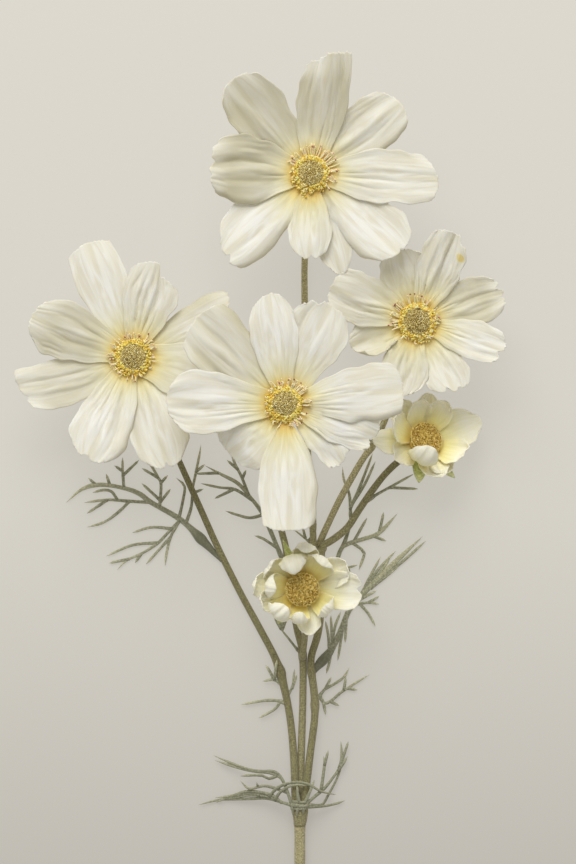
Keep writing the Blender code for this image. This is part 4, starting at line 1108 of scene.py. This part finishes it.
def add_filament(bm, head, foot_r, turn, chance, tipped, longer):
    """A filament out from the button's foot, up and hooked over, some to a maroon tip."""
    tone = bm.verts.layers.float["tone"]
    out = Vector((math.cos(turn), math.sin(turn), 0))
    lean = Vector((-math.sin(turn), math.cos(turn), 0)) * chance.uniform(-0.9, 0.9)
    reach = longer + chance.uniform(*(TIPPED_REACH if tipped else PLAIN_REACH))
    top = chance.uniform(0.9, 2.2)
    hook = chance.uniform(-0.9, 0.5)
    middle = out * (0.6 * reach + 2.0) + lean * 0.4
    spots = [(out * foot_r, 0.2), (middle, 0.7 * top), (out * reach + lean, top),
             (out * (reach + hook) + lean * 1.5, top + 0.4)]
    route = smooth_route([Vector(head) + spot + Vector((0, 0, SEAT + high)) for spot, high in spots],
                         FILAMENT_STEP)
    known = set(bm.verts)
    tube(bm, route, lambda share: FILAMENT_R * (0.9 + 0.35 * math.sin(math.pi * share)), FILAMENT_SIDES)
    blush = chance.uniform(0.0, 0.16)
    for dot in set(bm.verts) - known:
        near = dot[bm.verts.layers.float["along"]]
        dot[tone] = 0.34 + 0.1 * near + blush + (0.3 * eased(0.75, 1.0, near) if tipped else 0.0)
    tip_tone = 1.0 if tipped else chance.uniform(0.3, 0.6)
    tip_r = MAROON_TIP_R if tipped else PLAIN_TIP_R
    add_grain(bm, Matrix.Translation(on_spray(route[-1])), tip_r * MM, tip_tone)


stamen_thread = stamen_finish()
for index, (name, head) in enumerate(HEADS.items()):
    chance = random.Random(57 + index)
    bm = new_bmesh("along", "tone")
    toward, sided, longer, tall = FILAMENT_LEAN[name]
    button_r = BUTTON_R[name]
    for k in range(ANTHERS):
        turn = chance.uniform(0, 2 * math.pi)
        clumps = 1 + 0.9 * wander(2 * math.cos(turn), 2 * math.sin(turn), index)
        bare = 1 - 0.5 * sided * math.cos(turn - math.radians(toward))
        out = chance.random() ** 1.3 * clumps * bare
        radius = button_r - 0.35 + 2.1 * out
        height = SEAT + 2.0 - 0.8 * min(out, 1.3) + chance.uniform(-0.4, 0.4)
        spot = on_spray(Vector(head) + around(radius, turn, height))
        shape = Matrix.Rotation(chance.uniform(0, 6.3), 4, "Z") @ Matrix.Diagonal(ANTHER_SHAPE)
        add_grain(bm, Matrix.Translation(spot) @ shape, ANTHER_R * chance.uniform(0.65, 1.25) * MM,
                  chance.uniform(0.0, 0.42))
    profile = [(button_r - 0.6, SEAT), (button_r + 1.6, SEAT + 0.1), (button_r + 1.1, SEAT + 0.7),
               (button_r, SEAT + 1.3), (button_r - 0.6, SEAT + 1.2), (button_r - 0.6, SEAT)]
    known = set(bm.verts)
    turned(bm, profile, RING_SIDES, Matrix.Translation(on_spray(head)))
    for dot in set(bm.verts) - known:
        dot[bm.verts.layers.float["tone"]] = RING_TONE
    for turn in tall:
        more = longer * math.cos(math.radians(turn - toward))
        add_filament(bm, head, button_r, math.radians(turn), chance, True, more)
    made = 0
    while made < FILAMENTS:
        turn = chance.uniform(0, 2 * math.pi)
        facing = math.cos(turn - math.radians(toward))
        if chance.random() < 1 - sided + sided * max(0.0, facing):
            add_filament(bm, head, button_r, turn, chance, False, longer * facing)
            made += 1
    spray_piece(name + "_stamens", bm, stamen_thread)

# ---- Half-open blooms -------------------------------------------------------------------
# Two smaller blooms are still opening: a green cup and five sepals, then two rings of short
# cupped petals, cream outside and yellow-green within, round a golden brown seeded disc.
BUD_HUB_R = 5.0
BUD_HUB_CLOTH_R = BUD_HUB_R + 0.6
# Where each sits, how far it leans and toward what direction, and how much lighter or darker its disc's seeds
# are painted, as painted light and shade
BUDS = {
    "side": {"at": (44.3, 177.1, 15.0), "lean": 30, "toward": 45, "disc_painted_light": -0.06},
    "low": {"at": (0.9, 124.6, 24.0), "lean": 8, "toward": 270, "disc_painted_light": 0.08},
}
# Rows: direction, reach and width
BUD_SEPALS = {
    "side": [(25, 14, 6), (97, 14, 6), (169, 14, 6), (262, 15.8, 6.0), (313, 17.5, 5.0)],
    "low": [(20, 14, 6), (112, 19, 3.0), (164, 13, 6), (236, 16, 7), (308, 14, 6)],
}
# Rows: direction; length of cloth and width; the rise of its foot, how much it bends on the way
# and how far its end curls in, in degrees; where the curl starts; how hollow it is; end width;
# depth of the notch in its end
BUD_PETALS = {
    "side_bud_petals_outer": [
        (20, 19, 15.5, 10, 12, 25, 0.75, 28, 0.5, 0), (80, 14, 10, 6, 10, 40, 0.75, 30, 0.6, 0),
        (130, 14, 12, 4, 20, 50, 0.7, 35, 0.7, 0), (183, 15, 10.5, -6, 8, 25, 0.7, 30, 0.5, 0),
        (214, 10.5, 11, -4, 20, 50, 0.6, 30, 0.62, 0),
        (283, 13, 12, 6, 20, 60, 0.6, 40, 0.75, 0), (306, 10.3, 11, 2, 16, 35, 0.65, 30, 0.7, 0)],
    "side_bud_petals_inner": [
        (61, 13.5, 10.5, 16, 34, 50, 0.7, 45, 0.75, 0), (103, 12, 11, 16, 34, 50, 0.6, 40, 0.7, 0),
        (163, 13.5, 13, 14, 30, 50, 0.6, 35, 0.75, 0), (248, 20, 13, 28, 30, 105, 0.30, 62, 0.78, 0),
        (335, 15, 12, 14, 38, 60, 0.55, 42, 0.75, 0)],
    "low_bud_petals_outer": [
        (85, 19, 11, 8, 18, 165, 0.55, 60, 0.82, 0), (28, 15.2, 12, 4, 12, 60, 0.68, 36, 0.78, 0.6),
        (-2, 17.2, 15, 6, 12, 25, 0.75, 22, 0.86, 2.4), (-79, 12.6, 9.5, 5, 10, 40, 0.7, 35, 0.8, 0),
        (200, 15.5, 10, 6, 20, 110, 0.6, 50, 0.75, 0), (174, 17.6, 10, 5, 15, 120, 0.6, 40, 0.75, 0),
        (146, 15.5, 11, 6, 25, 110, 0.55, 45, 0.75, 0)],
    "low_bud_petals_inner": [
        (108, 21, 12.5, 14, 0, 200, 0.26, 66, 0.88, 0), (56, 16.5, 12.5, 14, 24, 150, 0.52, 55, 0.8, 0),
        (-38, 15.5, 10.5, 8, 12, 165, 0.32, 50, 0.8, 0), (-97, 17, 9.5, 12, 0, 200, 0.28, 75, 0.75, 0),
        (-138, 21.5, 11.5, 12, 0, 200, 0.26, 66, 0.85, 0), (173, 16.5, 11, 14, 20, 160, 0.40, 55, 0.75, 0)],
}
BUD_ROWS = 46
BUD_COLUMNS = 30
BUD_SEPAL_FOOT = 3.2    # from the bloom's axis
BUD_SEPAL_THICK = 0.3
NEIGHBOUR = math.tan(math.radians(31))  # half the room a petal has beside its neighbours


def bud_matrix(bud):
    """The half-open bloom's own axis, leaning as its stem does."""
    toward = math.radians(bud["toward"])
    lean = Matrix.Rotation(math.radians(bud["lean"]), 4, Vector((-math.sin(toward), math.cos(toward), 0)))
    return Matrix.Translation(on_spray(bud["at"])) @ lean @ Matrix.Scale(MM, 4)


def bud_spine(petal):
    """The middle line of a short petal, from the hub out, up and over: (out, up, direction)."""
    _, length, _, foot, bend, curl, curl_from = petal[:7]
    run, rise, spine = BUD_HUB_R, 0.0, []
    for i in range(BUD_ROWS + 1):
        t = i / BUD_ROWS
        angle = math.radians(foot + bend * t + curl * max(0.0, t - curl_from) / (1 - curl_from))
        spine.append((run, rise, angle))
        run += length / BUD_ROWS * math.cos(angle)
        rise += length / BUD_ROWS * math.sin(angle)
    return spine


def bud_petal_point(petal, spine, t, s, seed):
    """A point of a short hollow petal: along, across and up, in millimetres."""
    length, width, hollow, end, notch = petal[1], petal[2], petal[7], petal[8], petal[9]
    place = BUD_ROWS * t * (1 - 0.13 * abs(s) ** 2.2 * t ** 3)
    place -= BUD_ROWS * notch / length * math.exp(-((s - 0.1) / 0.2) ** 2) * t ** 8
    i = min(int(place), BUD_ROWS - 1)
    run, rise, angle = [a + (b - a) * (place - i) for a, b in zip(spine[i], spine[i + 1])]
    spread = 0.5 + 0.5 * math.sin(0.5 * math.pi * min(1, t / 0.6))
    edge = 1 + 0.10 * wander(4 * t, math.copysign(3, s), seed) * abs(s) ** 3
    half = 0.5 * width * spread * edge * (1 - (1 - end) * eased(0.55, 1.05, t) ** 1.5)
    half = min(half, NEIGHBOUR * max(run, BUD_HUB_R))
    bow = max(0.02, math.radians(hollow) * eased(0.05, 0.7, t))
    side = half * math.sin(bow * s) / bow
    inward = half * (1 - math.cos(bow * s)) / bow
    inward += 0.8 * wander(1.6 * s, 1.4 * t, seed) * eased(0.1, 0.5, t)
    inward += 0.35 * wander(5.0 * s, 2.2 * t, seed + 5) * eased(0.1, 0.5, t)
    inward += 0.5 * wander(5 * t, math.copysign(4, s), seed) * abs(s) ** 4
    return run - inward * math.sin(angle), side, rise + inward * math.cos(angle)


def add_bud_petal(bm, petal, lift, pale, seed):
    """A short petal; pale is how much less of the foot's dye it has."""
    reach, rim = bm.verts.layers.float["reach"], bm.verts.layers.float["rim"]
    spine = bud_spine(petal)
    for dot in cloth_grid(bm, BUD_ROWS, BUD_COLUMNS):
        t, s = 0.5 * (dot.co.x + 1), dot.co.y
        run, side, height = bud_petal_point(petal, spine, t, s, seed)
        dot[reach] = pale + (1 - pale) * t
        dot[rim] = max(abs(s) ** 5, t ** 7)
        dot.co = turned_spot(petal[0], run, side, height + lift)


def bud_petal_finish():
    """Cream cloth, olive-yellow at the foot and paler to the rim."""
    material = cloth_finish("bud_petal_cloth", 0.3)
    reach = noted(material, "reach")
    rim = noted(material, "rim")
    vein = long_noise(material, (1.6, 18.0, 1.0), Detail=3.0)
    blot = surface_noise(material, 90, 2.0)
    dyed = figured(material, "ADD", reach, figured(material, "MULTIPLY_ADD", blot, 0.3, -0.15))
    colour = add_ramp(material, dyed, [(0.05, dye(236, 204, 104)), (0.25, dye(247, 235, 160)),
                                       (0.48, dye(250, 244, 200)), (0.75, dye(250, 247, 228))])
    veined = veiled(material, colour, vein, 0.35, dye(250, 248, 240))
    edge = figured(material, "MULTIPLY", rim, 0.25)
    connect(material, mix(material, edge, veined, dye(246, 244, 228)), None, vein, 0.1, 0.0003)
    return material


def add_bud_sepal(bm, sepal, seed):
    """A pointed green sepal under the outer petals."""
    turn, reach, width = sepal
    grid = bmesh.ops.create_grid(bm, x_segments=16, y_segments=8, size=1.0)["verts"]
    for dot in grid:
        t, s = 0.5 * (dot.co.x + 1), dot.co.y
        run = BUD_SEPAL_FOOT + (reach - BUD_SEPAL_FOOT) * t
        side = s * 0.5 * width * (1 - t ** 2.2) * (0.8 + 0.8 * t) + 0.05 * s
        height = -1.6 + 0.05 * run * t + 0.8 * s * s * (1 - t) + 0.6 * wander(2 * t, s, seed) * t
        dot.co = turned_spot(turn, run, side, height)
    bmesh.ops.solidify(bm, geom=faces_of(grid), thickness=BUD_SEPAL_THICK)


bud_cloth = bud_petal_finish()
disc_seeds = seed_finish("disc_seeds", [dye(150, 114, 42), dye(222, 189, 86), dye(246, 216, 116),
                                        dye(255, 238, 160)])
BUD_CALYX = [(0, -7.6), (1.4, -7.6), (1.9, -7.1), (2.0, -5.4), (3.0, -4.2), (4.2, -2.8), (4.8, -1.5),
             (0, -1.3)]
BUD_DISC_R = 6.2
BUD_SEEDS = 640
for index, (name, bud) in enumerate(BUDS.items()):
    seat = bud_matrix(bud)
    metre_seat = seat @ Matrix.Scale(1 / MM, 4)
    bm = new_bmesh()
    turned(bm, BUD_CALYX, CALYX_SIDES, Matrix.Identity(4))
    bmesh.ops.transform(bm, matrix=metre_seat, verts=bm.verts)
    spray_piece(name + "_bud_calyx", bm, green_plastic)

    bm = new_bmesh()
    for number, sepal in enumerate(BUD_SEPALS[name]):
        add_bud_sepal(bm, sepal, index + 0.7 * number)
    bmesh.ops.transform(bm, matrix=seat, verts=bm.verts)
    spray_piece(name + "_bud_sepals", bm, green_plastic)

    for layer, lift, pale in (("outer", 0.0, 0.15), ("inner", LAYER_STEP, 0.0)):
        node = f"{name}_bud_petals_{layer}"
        bm = new_cloth(BUD_HUB_CLOTH_R, 40, lift, "reach", "rim")
        for number, short in enumerate(BUD_PETALS[node]):
            add_bud_petal(bm, short, lift, pale, 7.1 * index + 1.9 * number + lift)
        cloth_piece(node, bm, bud_cloth, seat)

    chance = random.Random(83 + index)
    bm = new_bmesh("tone")
    profile = [(0, SEAT - 0.2), (BUD_DISC_R - 1.9, SEAT - 0.2), (BUD_DISC_R - 0.1, SEAT + 1.8),
               (BUD_DISC_R - 0.5, SEAT + 2.6), (0.6 * BUD_DISC_R, SEAT + 3.0), (0, SEAT + 2.9)]
    turned(bm, profile, DOME_SIDES, Matrix.Identity(4))
    for k in range(BUD_SEEDS):
        radius = BUD_DISC_R * math.sqrt((k + 0.5) / BUD_SEEDS)
        turn = k * GOLDEN_TURN
        height = SEAT + 3.0 - 0.9 * (radius / BUD_DISC_R) ** 4 + chance.uniform(-0.12, 0.2)
        spot = around(radius, turn, height)
        outer = max(0.0, radius / BUD_DISC_R - 0.75)
        # Painted light and shade: each bud's seed tones are raised or lowered by how its disc is lit.
        add_grain(bm, Matrix.Translation(spot * MM), SEED_R * chance.uniform(0.7, 1.3) * MM,
                  min(1.0, max(0.0, chance.betavariate(1.4, 1.8) + bud["disc_painted_light"] + 1.6 * outer)))
    bmesh.ops.transform(bm, matrix=metre_seat, verts=bm.verts)
    spray_piece(name + "_bud_disc", bm, disc_seeds)

# ---- Stage, light and camera ------------------------------------------------------------
# The spray lies on a plain warm grey table under one broad soft light from beyond its top, with an even fill,
# and the camera looks straight down on it. The table glows by itself, dimmer toward the bottom: painted light
# that softens the shadows on it.
FLOOR_SIDE = 6.0
VIEW_MIDDLE = (-4.3, 180.7, 25.0)
CAMERA_HEIGHT = 2.2
VIEW_HEIGHT = 0.311     # what the camera takes in along the spray
WINDOW = Vector((-0.6, 3.3, 3.2))       # from the spray, in metres

bm = bmesh.new()
bmesh.ops.create_grid(bm, x_segments=1, y_segments=1, size=0.5 * FLOOR_SIDE)
floor_mesh = bpy.data.meshes.new("table_top")
bm.to_mesh(floor_mesh)
bm.free()
floor = bpy.data.objects.new("table_top", floor_mesh)
bpy.context.scene.collection.objects.link(floor)
glowing_floor_finish = new_finish("table_glow", Roughness=0.9, Specular_IOR_Level=0.1,
                         Base_Color=dye(130, 128, 122), Emission_Strength=1.0)
# Painted light: the table top's glow is dimmer toward the spray's cut end, standing in for the lamp's
# fall-off.
along_table = add_node(glowing_floor_finish, "SeparateXYZ",
                       {"Vector": add_node(glowing_floor_finish, "TexCoord").outputs["Object"]}).outputs["Y"]
along_table = add_node(glowing_floor_finish, "MapRange", {"Value": along_table, "From Min": -0.16, "From Max": 0.18})
glow = add_ramp(glowing_floor_finish, along_table.outputs["Result"], [
    (0.0, dye(149, 145, 139)), (0.45, dye(180, 177, 170)), (1.0, dye(188, 184, 176))])
glowing_floor_finish.node_tree.links.new(glow, glowing_floor_finish.node_tree.nodes["Principled BSDF"].inputs["Emission Color"])
floor_mesh.materials.append(glowing_floor_finish)

target = on_spray(VIEW_MIDDLE)
lamp = bpy.data.lights.new("window", "AREA")
lamp.shape = "SQUARE"
lamp.size = 3.2
lamp.energy = 170.0
lamp.color = (1.0, 1.0, 0.98)
window = bpy.data.objects.new("window", lamp)
bpy.context.scene.collection.objects.link(window)
window.location = target + WINDOW
window.rotation_euler = (-WINDOW).to_track_quat("-Z", "Y").to_euler()
window.visible_camera = False

world = bpy.data.worlds.new("studio")
world.use_nodes = True
world.node_tree.nodes["Background"].inputs["Color"].default_value = (1.0, 0.98, 0.92, 1.0)
world.node_tree.nodes["Background"].inputs["Strength"].default_value = 0.47
bpy.context.scene.world = world
bpy.context.scene.view_settings.view_transform = "Standard"

lens = bpy.data.cameras.new("camera")
camera = bpy.data.objects.new("camera", lens)
bpy.context.scene.collection.objects.link(camera)
camera.location = (target.x, target.y, target.z + CAMERA_HEIGHT)
lens.sensor_width = 36.0
lens.lens = lens.sensor_width * CAMERA_HEIGHT / VIEW_HEIGHT
lens.clip_end = 20.0
bpy.context.scene.camera = camera
